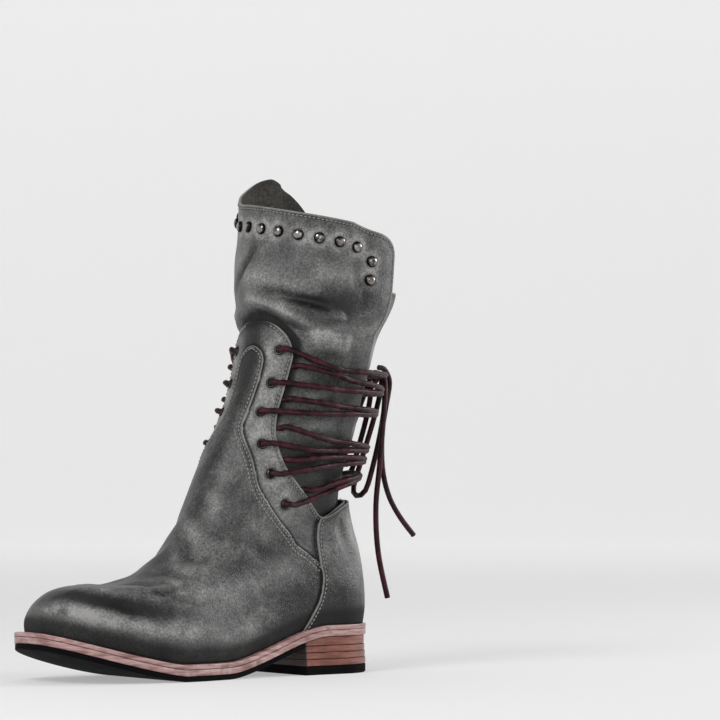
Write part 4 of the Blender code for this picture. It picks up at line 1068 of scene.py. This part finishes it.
def rubber(name):
    """Dull black rubber with some dust."""
    material, tree, shader, place = new_material(name)
    dust = noise(tree, place, 60.0, 5.0, 0.7)
    colour = mixed(tree, eased(tree, dust, 0.5, 0.8, 0.0, 0.5), *RUBBER_COLOURS)
    rough = eased(tree, dust, 0.3, 0.7, 0.7, 0.9)
    relief = bumped(tree, noise(tree, place, 900.0, 3.0), 0.0002, 0.4)
    set_sockets(tree, shader, Base_Color=colour, Roughness=rough, Specular_IOR_Level=0.06, Normal=relief)
    return material


def lace_wax(name):
    """Waxed round cord: dark wine brown, with fine twisted ribs."""
    material, tree, shader, place = new_material(name)
    worn = noise(tree, place, 160.0, 4.0, 0.6)
    colour = mixed(tree, eased(tree, worn, 0.35, 0.75), *LACE_COLOURS)
    rough = eased(tree, worn, 0.3, 0.7, 0.36, 0.52)
    relief = bumped(tree, noise(tree, place, 900.0, 3.0), 0.0004, 0.6)
    set_sockets(tree, shader, Base_Color=colour, Roughness=rough, Specular_IOR_Level=0.18, Normal=relief)
    return material


def metal(name, colours, roughness):
    """Antique metal: the field crown is 1 where the top is rubbed bright and 0 in the dark foot."""
    material, tree, shader, place = new_material(name)
    rubbed = math_node(tree, "MULTIPLY", field(tree, "crown"), noise(tree, place, 300.0, 3.0))
    colour = mixed(tree, eased(tree, rubbed, 0.25, 0.62), *colours)
    rough = eased(tree, rubbed, 0.1, 0.6, roughness + 0.2, roughness)
    relief = bumped(tree, noise(tree, place, 500.0, 3.0), 0.0002, 0.3)
    set_sockets(tree, shader, Base_Color=colour, Metallic=1.0, Roughness=rough, Normal=relief)
    return material


def thread(name):
    material, tree, shader, place = new_material(name)
    colour = mixed(tree, noise(tree, place, 1200.0, 2.0), *THREAD_COLOURS)
    set_sockets(tree, shader, Base_Color=colour, Roughness=0.7)
    return material


grey_leather = leather("grey_leather_look", GREY_TONES)
lining = flesh_side("lining_look")
welt_leather = sole_leather("welt_leather_look", WELT_COLOURS, 260.0)
stacked_leather = sole_leather("stacked_leather_look", STACK_COLOURS, 900.0, HEEL_BREAST - BOX_MIDDLE[0])
insole_leather = sole_leather("insole_leather_look", INSOLE_COLOURS, 60.0)
black_rubber = rubber("black_rubber_look")
waxed_lace = lace_wax("waxed_lace_look")
eyelet_metal = metal("eyelet_metal_look", EYELET_COLOURS, 0.34)
stud_metal = metal("stud_metal_look", STUD_COLOURS, 0.20)
grey_thread = thread("grey_thread_look")


# Leather panels


def panel_grid():
    """Rings and turns of the fine grid that the panels of the upper are cut from."""
    fine = np.linspace(0.0, UPPER_TOP_ROW, 500)
    run = sum(run_along(leg_point(fine, turn)) for turn in PANEL_SPREAD)
    step = 1
    rows = np.interp(np.linspace(0.0, run[-1], PANEL_ROWS // step), run, fine)
    front, side, back = (count // step for count in PANEL_COLUMNS)
    half = np.concatenate([
        np.linspace(0.0, FRONT_SHARE, front, endpoint=False),
        np.linspace(FRONT_SHARE, BACK_SHARE, side, endpoint=False),
        np.linspace(BACK_SHARE, 1.0, back),
    ])
    return rows, np.concatenate([half, (2.0 - half[1:-1])[::-1]])


def crease_depth(points):
    """How deep the creases of the foot press in at each point, with soft ridges beside them."""
    depth = np.zeros(len(points))
    for turn_a, ring_a, turn_b, ring_b, bow, width, deep in FOOT_CREASES:
        share = np.linspace(0.0, 1.0, 160)
        rings = ring_a + (ring_b - ring_a) * share + bow * np.sin(math.pi * share)
        line = leg_point(rings, turn_a + (turn_b - turn_a) * share)
        away, along = nearest(points, line)
        fade = np.sin(math.pi * np.clip(along, 0.0, 1.0)) ** 0.6
        depth += deep * fade * (bell(away / width) - 0.45 * bell((away - 2.0 * width) / width))
    return depth


def spot_sum(rows, turn, ring):
    """Sum of the soft patches of a table at each turn and ring."""
    total = np.zeros(turn.shape)
    for middle, height, turn_reach, height_reach, strength in rows:
        total += strength * bell((turn - middle) / turn_reach) * bell((ring - height) / height_reach)
    return total


def upper_table():
    """Vertex table of the fine grid: its place, its normal and the fields that cut and colour the panels."""
    rows, turns = panel_grid()
    row, turn = [a.ravel() for a in np.meshgrid(rows, wrapped(turns), indexing="ij")]
    points, normal = leg_point(row, turn), leg_normal(row, turn)
    x, y, z = points.T
    aside = np.abs(turn - leg_middle(z))
    seam_height, seam_turn = np.array(SEAM_ROWS)[::-1].T
    on_strip = (aside < np.interp(z, seam_height, seam_turn)) & (z < seam_height[-1])
    front = smooth_line(COUNTER_EDGE, COUNTER_POINTS)
    behind = np.zeros(len(points), bool)
    lines = []
    for side in SIDES:
        edge = opening_edge(side)
        lines.append((seam_line(side), edge_on_leg(edge, side), edge_on_leg(front, side)))
        below, above = edge[-1, 1], edge[0, 1]
        round_back = ((OPENING_BACK, below), (OPENING_BACK, OPENING_TOP))
        round_front = ((OPENING_FRONT, OPENING_TOP), (OPENING_FRONT, above))
        outline = np.concatenate([edge, round_back, round_front])
        behind |= inside_outline(points[:, [0, 2]], outline) & (side * y >= 0.0)
    seam, cut, heel = (
        np.minimum(*(nearest(points, even_line(line, EDGE_PITCH))[0] for line in pair))
        for pair in zip(*lines)
    )
    on_counter = inside_outline(points[:, [0, 2]], np.concatenate([front, COUNTER_SURROUND]))
    table = {
        "seam": np.where((z < seam_height[0]) | on_strip, seam, -seam),
        "open": np.where(behind, -cut, cut),
        "counter": np.where(on_counter, heel, -heel),
        "sole": z - sole_top(x),
        "tone": spot_sum(FOOT_TONES, turn, row),
        "crease": crease_depth(points),
        "aside": aside,
    }
    return points, normal, table, grid_faces(len(rows), len(turns), True)


def stitch_row(tree, edge, inset, side):
    """Points and faces of a row of stitches at a distance inside the edge of a panel."""
    edge = even_line(edge, 0.5)
    way = unit(np.gradient(edge, axis=0))
    row = []
    for place, along in zip(edge, way):
        normal = tree.find_nearest(Vector(place))[1]
        found = tree.find_nearest(Vector(place + side * inset * np.cross(normal, along)))
        if found[3] < 0.5 * inset + COUNTER_THICK + STITCH_SLACK:
            row.append(found[0])
    places = even_line(row, STITCH_PITCH)
    way = np.gradient(places, axis=0)
    half = 0.5 * STITCH_LENGTH
    profile = [(0.0, -half), (0.8 * STITCH_RADIUS, -0.75 * half), (STITCH_RADIUS, -0.3 * half)]
    profile += [(radius, -height) for radius, height in profile[::-1]]
    shape, faces = turned_points(profile, 6)
    points, rings = [], []
    for place, along in zip(places, way):
        spot, normal, _, away = tree.find_nearest(Vector(place))
        if away > STITCH_OFF:
            continue
        stood = standing(shape, np.array(spot) + STITCH_PROUD * np.array(normal), along)
        rings += [tuple(c + len(points) * len(shape) for c in f[::-1]) for f in faces]
        points.append(stood)
    return np.concatenate(points), rings


def build_stitches(name, rows):
    """One piece from several rows of stitches."""
    points, faces, count = [], [], 0
    for row, rings in rows:
        faces += [tuple(c + count for c in f) for f in rings]
        points.append(row)
        count += len(row)
    add_piece(name, mesh_of(name, np.concatenate(points), faces), grey_thread)


def build_panel(name, base, offset, wall, keep, rim, tuck, nodes=(), tone=0.0):
    """One leather panel cut from the fine grid: keep lists the fields that stay above zero."""
    points, normal, table, faces = base
    place = points + normal * (offset - table["crease"])[:, None]
    # Creases take painted shade and the ridges beside them a painted highlight
    tone = table["tone"] + tone - 0.5 * table["crease"]
    data = np.column_stack([place, rim, tuck, table["sole"], tone, *keep])
    for column in range(7, 7 + len(keep)):
        data, faces = clipped(data, faces, column)
    fields = dict(zip(("rim", "tuck", "sole", "tone"), data[:, 3:7].T))
    leather_piece(name, data[:, :3], faces, fields, wall, nodes)
    return BVHTree.FromPolygons([Vector(p) for p in data[:, :3]], [tuple(int(c) for c in f) for f in faces])


def build_upper():
    """Vamp over quarters, and the counter over both."""
    base = upper_table()
    points, _, table, _ = base
    seam, edge, heel = table["seam"], table["open"], table["counter"]
    pucker, stay = np.zeros(len(points)), np.zeros(len(points))
    for spots in eyelet_spots().values():
        for turn, ring in spots:
            away = np.linalg.norm(points - leg_point(ring, turn), axis=1)
            pucker += bells(away, PUCKER_RINGS)
            stay += bells(away, STAY_TONES)
    beside = TOP_LINE_CLEAR * rise(table["aside"], *TOP_LINE_END)
    under_top_line = TOP_LINE_FRONT - TOP_LINE_DROP - points[:, 2]
    top = under_top_line + beside
    rounding = np.maximum(TOP_LINE_ROUND - np.abs(edge - top), 0.0) ** 2 / (4.0 * TOP_LINE_ROUND)
    cut = np.minimum(edge, top) - rounding
    before_counter = np.where(heel < 0.0, -heel, FAR)
    # Painted shadow on the quarters beside the vamp's seam, before the counter and under the sleeve's fold
    tuck = np.minimum(np.minimum(-seam, before_counter), TOP_LINE_DARK * under_top_line + beside)
    step_start, step_width = STEP_EASE
    lift = pucker - QUARTER_STEP * smooth((step_start - seam) / step_width) - LAP_SUNK * (seam > 0)
    wall = UPPER_WALL - QUARTER_STEP
    keep = [QUARTER_LAP - seam, cut]
    quarters = build_panel(
        "quarters", base, lift, wall, keep, edge, np.where(seam > 0, 0.0, tuck), tone=stay
    )
    roll = -EDGE_ROLL * bell(seam / ROLL_REACH)
    # The vamp takes painted shadow before the counter's edge
    vamp = build_panel("vamp", base, roll, wall, [seam], seam, before_counter, ("upper",))
    lift = 1.5 * GAP + COUNTER_THICK - COUNTER_ROLL * bell(heel / ROLL_REACH)
    keep = [heel, cut - COUNTER_SHORT]
    clear = np.full(len(points), FAR)
    counter = build_panel(
        "heel_counter", base, lift, COUNTER_THICK, keep, np.minimum(heel, cut), clear, ("counter",)
    )
    rows = {"vamp_stitches": [], "quarter_stitches": [], "counter_stitches": []}
    front = smooth_line(COUNTER_EDGE, COUNTER_POINTS)
    for side in SIDES:
        line = seam_line(side)
        low_line = line[line[:, 2] < STRIP_FOOT]
        laced = opening_edge(side)
        laced = edge_on_leg(laced[laced[:, 1] < QUARTER_STITCH_TOP], side)
        second_inset = STITCH_INSET + STITCH_ROWS_APART
        rows["vamp_stitches"].append(stitch_row(vamp, line, STITCH_INSET, -side))
        rows["vamp_stitches"].append(stitch_row(vamp, low_line, second_inset, -side))
        rows["quarter_stitches"].append(stitch_row(quarters, laced, STITCH_INSET, -side))
        rows["counter_stitches"].append(stitch_row(counter, edge_on_leg(front, side), STITCH_INSET, side))
    for name, lines in rows.items():
        build_stitches(name, lines)


def shaft_grid():
    """Height and turn of each point of the sleeve, from its hem to its fold and on to the collar."""
    columns = SHAFT_COLUMNS
    levels = [(below, 0.0) for below in np.linspace(0.0, 1.0, SHAFT_LOW_ROWS)]
    levels += [(1.0, above) for above in np.linspace(0.0, 1.0, SHAFT_HIGH_ROWS)[1:]]
    heights, turns = [], []
    for below, above in levels:
        turn = np.linspace(-SHAFT_REAR, SHAFT_REAR, columns)
        for _ in range(3):
            hem, fold, collar = hem_height(turn), fold_line(turn), collar_height(turn)
            height = hem + (fold - hem) * below + (collar - fold) * above
            into_corner = np.clip(COLLAR_CORNER - (collar - height)[[0, -1]].mean(), 0.0, COLLAR_CORNER)
            drawn_in = COLLAR_CORNER - math.sqrt(COLLAR_CORNER**2 - into_corner**2)
            reach = SHAFT_REAR - drawn_in / MM_PER_TURN
            turn = np.linspace(-reach, reach, columns)
        heights.append(height)
        turns.append(turn)
    return np.array(heights), np.array(turns)


def dent_depth(height, turn):
    """How far the sleeve's folds and hollows stand out or press in."""
    total = np.zeros(turn.shape)
    for middle, level, turn_reach, height_reach, slope, depth in SHAFT_DENTS:
        shifted = turn - middle - slope * (height - level)
        total += depth * bell(shifted / turn_reach) * bell((height - level) / height_reach)
    return total


def dark_foot(height):
    """1 in the shade low on the leg, 0 above it."""
    return smooth((DARK_FOOT_TOP - height) / DARK_FOOT_FADE)


def build_shaft():
    """Sleeve with its fold, and the stitches along its collar."""
    height, turn = shaft_grid()
    above_fold, beside = height - fold_line(turn), off_middle(turn)
    clear_of_fold = rise(np.abs(above_fold - DENT_FADE_HEIGHT), *DENT_FADE)
    dents = dent_depth(height, turn) * np.maximum(clear_of_fold, rise(beside, *DENT_BESIDE))
    points = shaft_point(height, turn, dents)
    low = SHAFT_LOW_ROWS
    border = np.concatenate([points[low:, 0], points[-1], points[low:, -1][::-1]])
    flat = points.reshape(-1, 3)
    # Painted highlight on the swellings and along the fold, painted shade in the hollows and on the foot
    # under the lace
    tone = np.clip(DENT_TONE * dents, *DENT_TONE_RANGE) + bells(above_fold, FOLD_TONES)
    tone = (tone - SHAFT_FOOT_TONE * dark_foot(height)).ravel()
    for _, stud_height, stud_turn in stud_spots():
        away = np.linalg.norm(flat - shaft_point(stud_height, stud_turn), axis=1)
        tone += bells(away, STUD_TONES)
    # Painted shadow on the sleeve along its fold, cleared towards the sides
    tuck = np.maximum(above_fold, -TUCK_DEPTH) - TUCK_START + TUCK_CLEAR * rise(beside, *TUCK_BESIDE)
    fields = {
        "rim": nearest(flat, even_line(border, 0.5))[0],
        "tuck": tuck.ravel(),
        "sole": np.full(len(flat), FAR),
        "tone": tone,
    }
    faces = grid_faces(*height.shape, False)
    leather_piece("shaft_sleeve", flat, faces, fields, SHAFT_WALL, ("shaft",))
    tree = BVHTree.FromPolygons([Vector(p) for p in flat], faces)
    build_stitches("shaft_stitches", [stitch_row(tree, border, STITCH_INSET, -1.0)])


def build_gusset():
    """Panel that closes the gap behind the sleeve, rippled under the lace."""
    turns = np.linspace(GUSSET_SHARE, 2.0 - GUSSET_SHARE, GUSSET_STEPS)
    heights = np.linspace(GUSSET_FOOT, GUSSET_TOP, GUSSET_STEPS)
    z, turn = np.meshgrid(heights, wrapped(turns), indexing="ij")
    ripple = GUSSET_RIPPLE * np.sin(z / GUSSET_RIPPLE_LENGTH + GUSSET_RIPPLE_TURN * turn)
    ripple = ripple * rise(z, *GUSSET_RIPPLE_FOOT) * (1.0 - rise(z, *GUSSET_RIPPLE_TOP))
    offset = gusset_offset(z, turn) + GUSSET_RIPPLE_DEPTH * ripple
    flat = leg_surface(row_at_height(z, turn), turn, offset).reshape(-1, 3)
    # Painted highlight and shade on the ripples, a lighter band, and painted shade on the foot under the lace
    tone = RIPPLE_TONE * ripple + bells(z, GUSSET_TONES) - GUSSET_FOOT_TONE * dark_foot(z)
    fields = {
        "rim": (GUSSET_TOP - z).ravel(),
        "tuck": np.full(len(flat), FAR),
        "sole": np.full(len(flat), FAR),
        "tone": tone.ravel(),
    }
    faces = grid_faces(*z.shape, False)
    leather_piece("back_gusset", flat, faces, fields, GUSSET_WALL, ("gusset",))


# Sole and heel


def sole_edge(inset, count=200):
    """Outer and inner outline of the sole, drawn in by inset, as (x, y) points from heel to toe."""
    margins = np.array(MARGIN_ROWS).T
    turns = np.linspace(0.0, 1.0, count)
    sides = []
    for side in SIDES:
        line = leg_point(0.0, side * turns)[:, :2]
        around = leg_point(0.0, wrapped(side * turns + 0.002)) - leg_point(0.0, wrapped(side * turns - 0.002))
        normal = unit(np.stack([around[:, 1], -around[:, 0]], axis=-1))
        margin = np.interp(line[:, 0], *margins) - inset
        sides.append((line + normal * margin[:, None])[::-1])
    return sides


def plate_piece(name, levels, material, start=None, stop=None):
    """Plate of the sole between levels, from the top down. Each level has a height function and an inset."""
    blend = 0.75 if start is None and stop is None else 0.6
    share = np.linspace(0.0, 1.0, PLATE_POINTS)
    share = share + (0.5 - 0.5 * np.cos(math.pi * share) - share) * blend
    loops = []
    for height, inset in levels:
        outer, inner = sole_edge(inset)
        low = outer[0, 0] if start is None else start
        high = outer[-1, 0] if stop is None else stop
        x = low + (high - low) * share
        outer, inner = (
            np.stack([x, np.interp(x, line[:, 0], line[:, 1]), height(x)], axis=-1) for line in (outer, inner)
        )
        loops.append(np.concatenate([outer, inner[::-1]]))
    count = len(loops[0])
    faces = grid_faces(len(loops), count, True)
    last = (len(loops) - 1) * count
    for k in range(count // 2 - 1):
        faces.append((k, count - 1 - k, count - 2 - k, k + 1))
        faces.append((last + k + 1, last + count - 2 - k, last + count - 1 - k, last + k))
    mesh = mesh_of(name, np.concatenate(loops), faces)
    shape = bmesh.new()
    shape.from_mesh(mesh)
    bmesh.ops.remove_doubles(shape, verts=shape.verts, dist=WELD)
    bmesh.ops.recalc_face_normals(shape, faces=shape.faces)
    shape.to_mesh(mesh)
    shape.free()
    mesh.shade_smooth()
    mesh.set_sharp_from_angle(angle=math.radians(PLATE_SHARP))
    return add_piece(f"{name}_edge", mesh, material, (name,))


def under_top(depth):
    return lambda x: sole_top(x) - depth


def level(height):
    return lambda x: np.full_like(x, height)


def build_sole():
    """Welt, midsole, outsole and insole."""
    midsole_top = WELT_THICK + GAP
    outsole_top = midsole_top + MIDSOLE_THICK + GAP

    def plate(top, thickness, inset, bottom_inset):
        share = bottom_inset / PLATE_ROUNDS[0][1]
        bottom = top + thickness
        levels = [(under_top(top + drop), inset + draw) for drop, draw in PLATE_ROUNDS]
        levels += [(under_top(bottom - drop), inset + share * draw) for drop, draw in PLATE_ROUNDS[::-1]]
        return levels

    plate_piece("welt", plate(0.0, WELT_THICK, 0.0, 0.7), welt_leather)
    plate_piece("midsole", plate(midsole_top, MIDSOLE_THICK, 0.1, 0.7), welt_leather)
    outsole = plate(outsole_top, OUTSOLE_THICK, 0.5, 1.6)
    plate_piece("outsole", outsole, black_rubber, start=HEEL_BREAST + GAP)
    inside = MARGIN_ROWS[-1][1] + UPPER_WALL + 1.0
    insole = [(under_top(-GAP - INSOLE_THICK), inside), (under_top(-GAP), inside)]
    plate_piece("insole", insole, insole_leather)


def build_heel():
    """Top piece, lifts and the wedge under the seat."""
    rounds = ((TOP_PIECE_THICK, 0.6), (TOP_PIECE_THICK - 0.5, 0.2), (0.8, 0.2), (0.0, 0.9))
    top_piece = [(level(height), inset) for height, inset in rounds]
    plate_piece("heel_top_piece", top_piece, black_rubber, stop=HEEL_BREAST)
    seat = WELT_THICK + GAP + MIDSOLE_THICK + GAP
    floor = TOP_PIECE_THICK + GAP
    drop, draw = LIFT_ROUND
    for number in range(LIFT_COUNT, 0, -1):
        inset = LIFT_INSET + LIFT_FLARE * (LIFT_COUNT - number)
        top = under_top(seat) if number == 1 else level(floor + LIFT_THICK)
        under = under_top(seat + drop) if number == 1 else level(floor + LIFT_THICK - drop)
        levels = [(top, inset + draw), (under, inset)]
        levels += [(level(floor + drop), inset), (level(floor), inset + draw)]
        plate_piece(f"heel_lift_{number}", levels, stacked_leather, stop=HEEL_BREAST)
        floor += LIFT_THICK + GAP


# Eyelets and studs


def build_eyelets(spots):
    """Rolled metal rings in the quarters."""
    lip = [
        (EYELET_BORE + EYELET_LIP * (1.0 - math.cos(a)), EYELET_SEAT + EYELET_FLANGE * math.sin(a))
        for a in np.linspace(-0.25, 1.6, 5)
    ]
    lip = [(EYELET_BORE, EYELET_SEAT - 1.4), *lip]
    lip += [(EYELET_RADIUS - 0.4, EYELET_SEAT + 0.5), (EYELET_RADIUS, EYELET_SEAT - 0.3)]
    points, faces = turned_points(lip[::-1], 24)
    faces = [f[::-1] for f in faces]
    crown = rise(points[:, 2], EYELET_SEAT, EYELET_FLANGE)
    for side, word in zip(SIDES, ("outer", "inner")):
        for number, (turn, ring) in enumerate(spots[side], start=1):
            name = f"eyelet_{word}_{number}"
            stood = standing(points, leg_surface(ring, turn, -QUARTER_STEP), leg_normal(ring, turn))
            mesh = mesh_of(f"{name}_ring", stood, faces, {"crown": crown})
            add_piece(f"{name}_ring", mesh, eyelet_metal, (name,))


def stud_spots():
    """Name, height and turn of each stud round the collar."""
    turns = np.linspace(-SHAFT_REAR, SHAFT_REAR, 801)
    line = shaft_point(collar_height(turns) - STUD_BELOW_EDGE, turns)
    run = run_along(line)
    middle = np.interp(0.0, turns, run) + STUD_SHIFT
    spots = []
    for number in range(-STUDS_BESIDE_FRONT, STUDS_BESIDE_FRONT + 1):
        turn = float(np.interp(middle + number * STUD_PITCH, run, turns))
        word = "outer" if number > 0 else "inner"
        name = f"stud_{word}_{abs(number)}" if number else "stud_front"
        spots.append((name, float(collar_height(turn)) - STUD_BELOW_EDGE, turn))
    for number, (drop, inset) in enumerate(REAR_STUDS, start=STUDS_BESIDE_FRONT + 1):
        for word, place in (("outer", run[-1] - inset), ("inner", inset)):
            turn = float(np.interp(place, run, turns))
            spots.append((f"stud_{word}_{number}", float(collar_height(turn)) - drop, turn))
    return spots


def build_studs():
    """Domed metal studs round the collar."""
    angles = np.linspace(0.5 * math.pi, 0.0, 9)
    dome = [(STUD_RADIUS * math.cos(a), 0.5 + STUD_HEIGHT * math.sin(a)) for a in angles]
    points, faces = turned_points([(0.0, dome[0][1]), *dome[1:], (STUD_RADIUS, -0.4)], 28)
    crown = rise(points[:, 2], 0.6, STUD_HEIGHT - 0.3)
    for name, height, turn in stud_spots():
        dent = float(dent_depth(np.array(height), np.array(turn)))
        stood = standing(points, shaft_point(height, turn, dent), shaft_normal(height, turn))
        mesh = mesh_of(f"{name}_dome", stood, faces, {"crown": crown})
        add_piece(f"{name}_dome", mesh, stud_metal, (name,))


# Lace


def lace_surface(z, turn, lift):
    """Middle of a lace lying over the leg at a height and turn, clear of the sleeve and gusset."""
    row = row_at_height(z, turn)
    under = np.maximum(shaft_offset(z, turn), gusset_offset(z, turn))
    free = np.maximum(under, -QUARTER_STEP)
    slack = LACE_SLACK * rise(np.abs(turn), LACE_SLACK_FROM, 1.0 - LACE_SLACK_FROM)
    return leg_surface(row, turn, free + LACE_RADIUS + lift + slack)


def strand_points(start, end, crossing):
    """Lace from one (turn, height) to another round the back, by way of a row of the crossings."""
    turn_a, turn_b = start[0], end[0] % 2.0
    share = np.linspace(0.0, 1.0, 2 * CROSSING_STEPS + 1)
    turns = turn_a + (turn_b - turn_a) * share
    ends = start[1] + (end[1] - start[1]) * share
    middle = 0.5 * (start[1] + end[1])
    middle_height, sag_share = crossing
    from_end = np.minimum(share, 1.0 - share)
    sag = (1.0 - np.exp(-from_end / sag_share)) / (1.0 - math.exp(-0.5 / sag_share))
    heights = ends + (middle_height - middle) * sag
    lift = GAP + LACE_LIFT * smooth(from_end / LACE_LIFT_SHARE)
    return lace_surface(heights, wrapped(turns), lift)


def eyelet_mouth(spots, side, number):
    turn, _ = spots[side][number]
    return turn + side * MOUTH_TURN, EYELET_PLACES[number][1]


@lru_cache
def edge_turns(side):
    """Heights and turns of the laced edge of one quarter, from the bottom up."""
    edge = opening_edge(side)
    edge = edge[(edge[:, 0] > OPENING_EDGE_LOW) & (edge[:, 1] < TOP_LINE_SIDE)][::-1]
    return edge[:, 1], turn_at(edge[:, 0], edge[:, 1], side, 2.0)[:, 0]


def under_edge(side, number):
    """Turn and height at which a lace has come out from under the edge of a quarter."""
    height = EYELET_PLACES[number][1] - EDGE_DROP
    return np.interp(height, *edge_turns(side)) + side * EDGE_TURN, height


def through_eyelet(spots, side, number):
    """Points of a lace that comes up through an eyelet, from inside."""
    turn, ring = spots[side][number]
    return [leg_surface(ring, turn + side * step, depth) for step, depth in EYELET_STEPS]


def under_quarter(side, number):
    """Points of a lace that slips under the edge of a quarter, from inside."""
    height = EYELET_PLACES[number][1] - EDGE_DROP
    edge = np.interp(height, *edge_turns(side))
    turns = [edge + side * step for step, _ in UNDER_STEPS]
    return [leg_surface(row_at_height(height, t), t, depth) for t, (_, depth) in zip(turns, UNDER_STEPS)]


def lace_tube(name, points, nodes=()):
    """Lace along points, a little uneven in thickness."""
    line = even_line(smooth_line([tuple(p) for p in points], 12 * len(points)), LACE_PITCH)
    radius = LACE_RADIUS * (1.0 + LACE_UNEVEN * np.sin(np.arange(len(line)) * 1.7))
    return add_piece(name, tube_mesh(name, line, radius), waxed_lace, nodes)


def build_lace(spots):
    """Strands through the eyelets and round the back, the knot, and the free loops and ends."""
    outer, inner = SIDES
    for number, crossing in enumerate(CROSSING_ROWS):
        first = strand_points(eyelet_mouth(spots, outer, number + 1), under_edge(inner, number), crossing)
        second = strand_points(under_edge(outer, number), eyelet_mouth(spots, inner, number + 1), crossing)
        first = [*through_eyelet(spots, outer, number + 1), *first, *under_quarter(inner, number)[::-1]]
        second = [*under_quarter(outer, number), *second, *through_eyelet(spots, inner, number + 1)[::-1]]
        lace_tube(f"lace_strand_{number + 1}_a", first, (f"lace_cross_{number + 1}",))
        lace_tube(f"lace_strand_{number + 1}_b", second)
    top = strand_points(eyelet_mouth(spots, outer, 0), eyelet_mouth(spots, inner, 0), TOP_BAR_ROW)
    bar = [*through_eyelet(spots, outer, 0), *top, *through_eyelet(spots, inner, 0)[::-1]]
    lace_tube("lace_bar", bar, ("lace_top_bar",))

    side = top[CROSSING_STEPS, 1] + KNOT_SIDE
    behind = [np.interp(-side, -top[:, 1], top[:, axis]) for axis in range(3)]
    middle = np.array(behind) - np.array((LACE_RADIUS + 0.5 * KNOT_SIZE[0] + GAP, 0.0, 0.0))
    t = np.linspace(0.0, 2.0 * math.pi, 90)
    wound = np.stack([-np.sin(3 * t), np.sin(t) + 2 * np.sin(2 * t), np.cos(t) - 2 * np.cos(2 * t)], axis=-1)
    wound = wound * (np.array(KNOT_SIZE) * 0.5 - LACE_RADIUS) / np.array(KNOT_REACH) + middle
    knot = tube_mesh("lace_knot_tied", wound, LACE_RADIUS)
    add_piece("lace_knot_tied", knot, waxed_lace, ("lace_knot",))
    free = [(name, loop_line(*loop), "object") for name, *loop in LOOPS]
    free += [(name, smooth_line(route, FREE_POINTS), "bare") for name, route in FREE_ENDS]
    for name, line, far_end in free:
        line = line + middle
        curve = bpy.data.curves.new(f"{name}_cord", "CURVE")
        curve.dimensions = "3D"
        curve.bevel_depth = LACE_RADIUS * MM
        curve.bevel_resolution = 3
        curve.use_fill_caps = True
        spline = curve.splines.new("POLY")
        spline.points.add(len(line) - 1)
        for point, place in zip(spline.points, placed(line)):
            point.co = (*place, 1.0)
        spline.use_smooth = True
        piece = add_piece(f"{name}_cord", curve, waxed_lace, (name,))


# Stage


def build_floor():
    """Pale round floor with a wall, glowing a little."""
    bend = np.linspace(0.0, 0.5 * math.pi, 14)
    profile = [(SWEEP_REACH + SWEEP_BEND * math.sin(a), SWEEP_BEND * (1.0 - math.cos(a))) for a in bend]
    points, faces = turned_points([(0.0, 0.0), *profile, (profile[-1][0], SWEEP_TOP)], 96)
    mesh = bpy.data.meshes.new("sweep")
    mesh.from_pydata([tuple(p) for p in points], [], faces)
    mesh.shade_smooth()
    floor = linked("sweep", mesh)
    material, tree, shader, place = new_material("pale_sweep")
    across = wire(
        tree, "ShaderNodeVectorMath", {"operation": "MULTIPLY"}, input_0=place, input_1=(1.0, 1.0, 0.0)
    )
    away = wire(tree, "ShaderNodeVectorMath", {"operation": "LENGTH"}, input_0=across.outputs[0])
    glow = eased(tree, away.outputs["Value"], SWEEP_NEAR, SWEEP_REACH, *SWEEP_GLOW)
    set_sockets(
        tree, shader, Base_Color=FLOOR_COLOUR, Roughness=0.9, Emission_Color=WHITE, Emission_Strength=glow
    )
    floor.data.materials.append(material)


def build_lights():
    """Faint even light from all round, and soft lamps."""
    world = bpy.data.worlds.new("studio")
    bpy.context.scene.world = world
    world.use_nodes = True
    set_sockets(world.node_tree, world.node_tree.nodes["Background"], Color=WHITE, Strength=WORLD_LIGHT)
    for name, turn, raised, distance, size, power, aim in LIGHTS:
        data = bpy.data.lights.new(name, "AREA")
        data.shape = "DISK"
        data.size = size
        data.energy = power
        lamp = linked(name, data)
        a, e = math.radians(CAMERA_AZIMUTH + turn), math.radians(raised)
        way = Vector((math.sin(a) * math.cos(e), -math.cos(a) * math.cos(e), math.sin(e)))
        lamp.location = distance * way
        lamp.visible_camera = False
        lamp.rotation_mode = "QUATERNION"
        lamp.rotation_quaternion = (lamp.location - Vector((0.0, 0.0, aim))).to_track_quat("Z", "Y")


def build_camera():
    """Camera for that view."""
    azimuth = math.radians(CAMERA_AZIMUTH)
    back = Vector((math.sin(azimuth), -math.cos(azimuth), 0.0))
    data = bpy.data.cameras.new("camera")
    data.sensor_width = CAMERA_SENSOR
    data.lens = CAMERA_LENS
    data.shift_x, data.shift_y = CAMERA_SHIFT
    data.clip_end = CAMERA_CLIP
    camera = linked("camera", data)
    camera.location = Vector(placed(CAMERA_TARGET)) + back * CAMERA_DISTANCE
    camera.rotation_mode = "QUATERNION"
    camera.rotation_quaternion = back.to_track_quat("Z", "Y")
    bpy.context.scene.camera = camera


bpy.context.scene.view_settings.view_transform = "Standard"
build_floor()
build_lights()
build_camera()
spots = eyelet_spots()
build_lace(spots)
build_upper()
build_shaft()
build_gusset()
build_sole()
build_heel()
build_eyelets(spots)
build_studs()
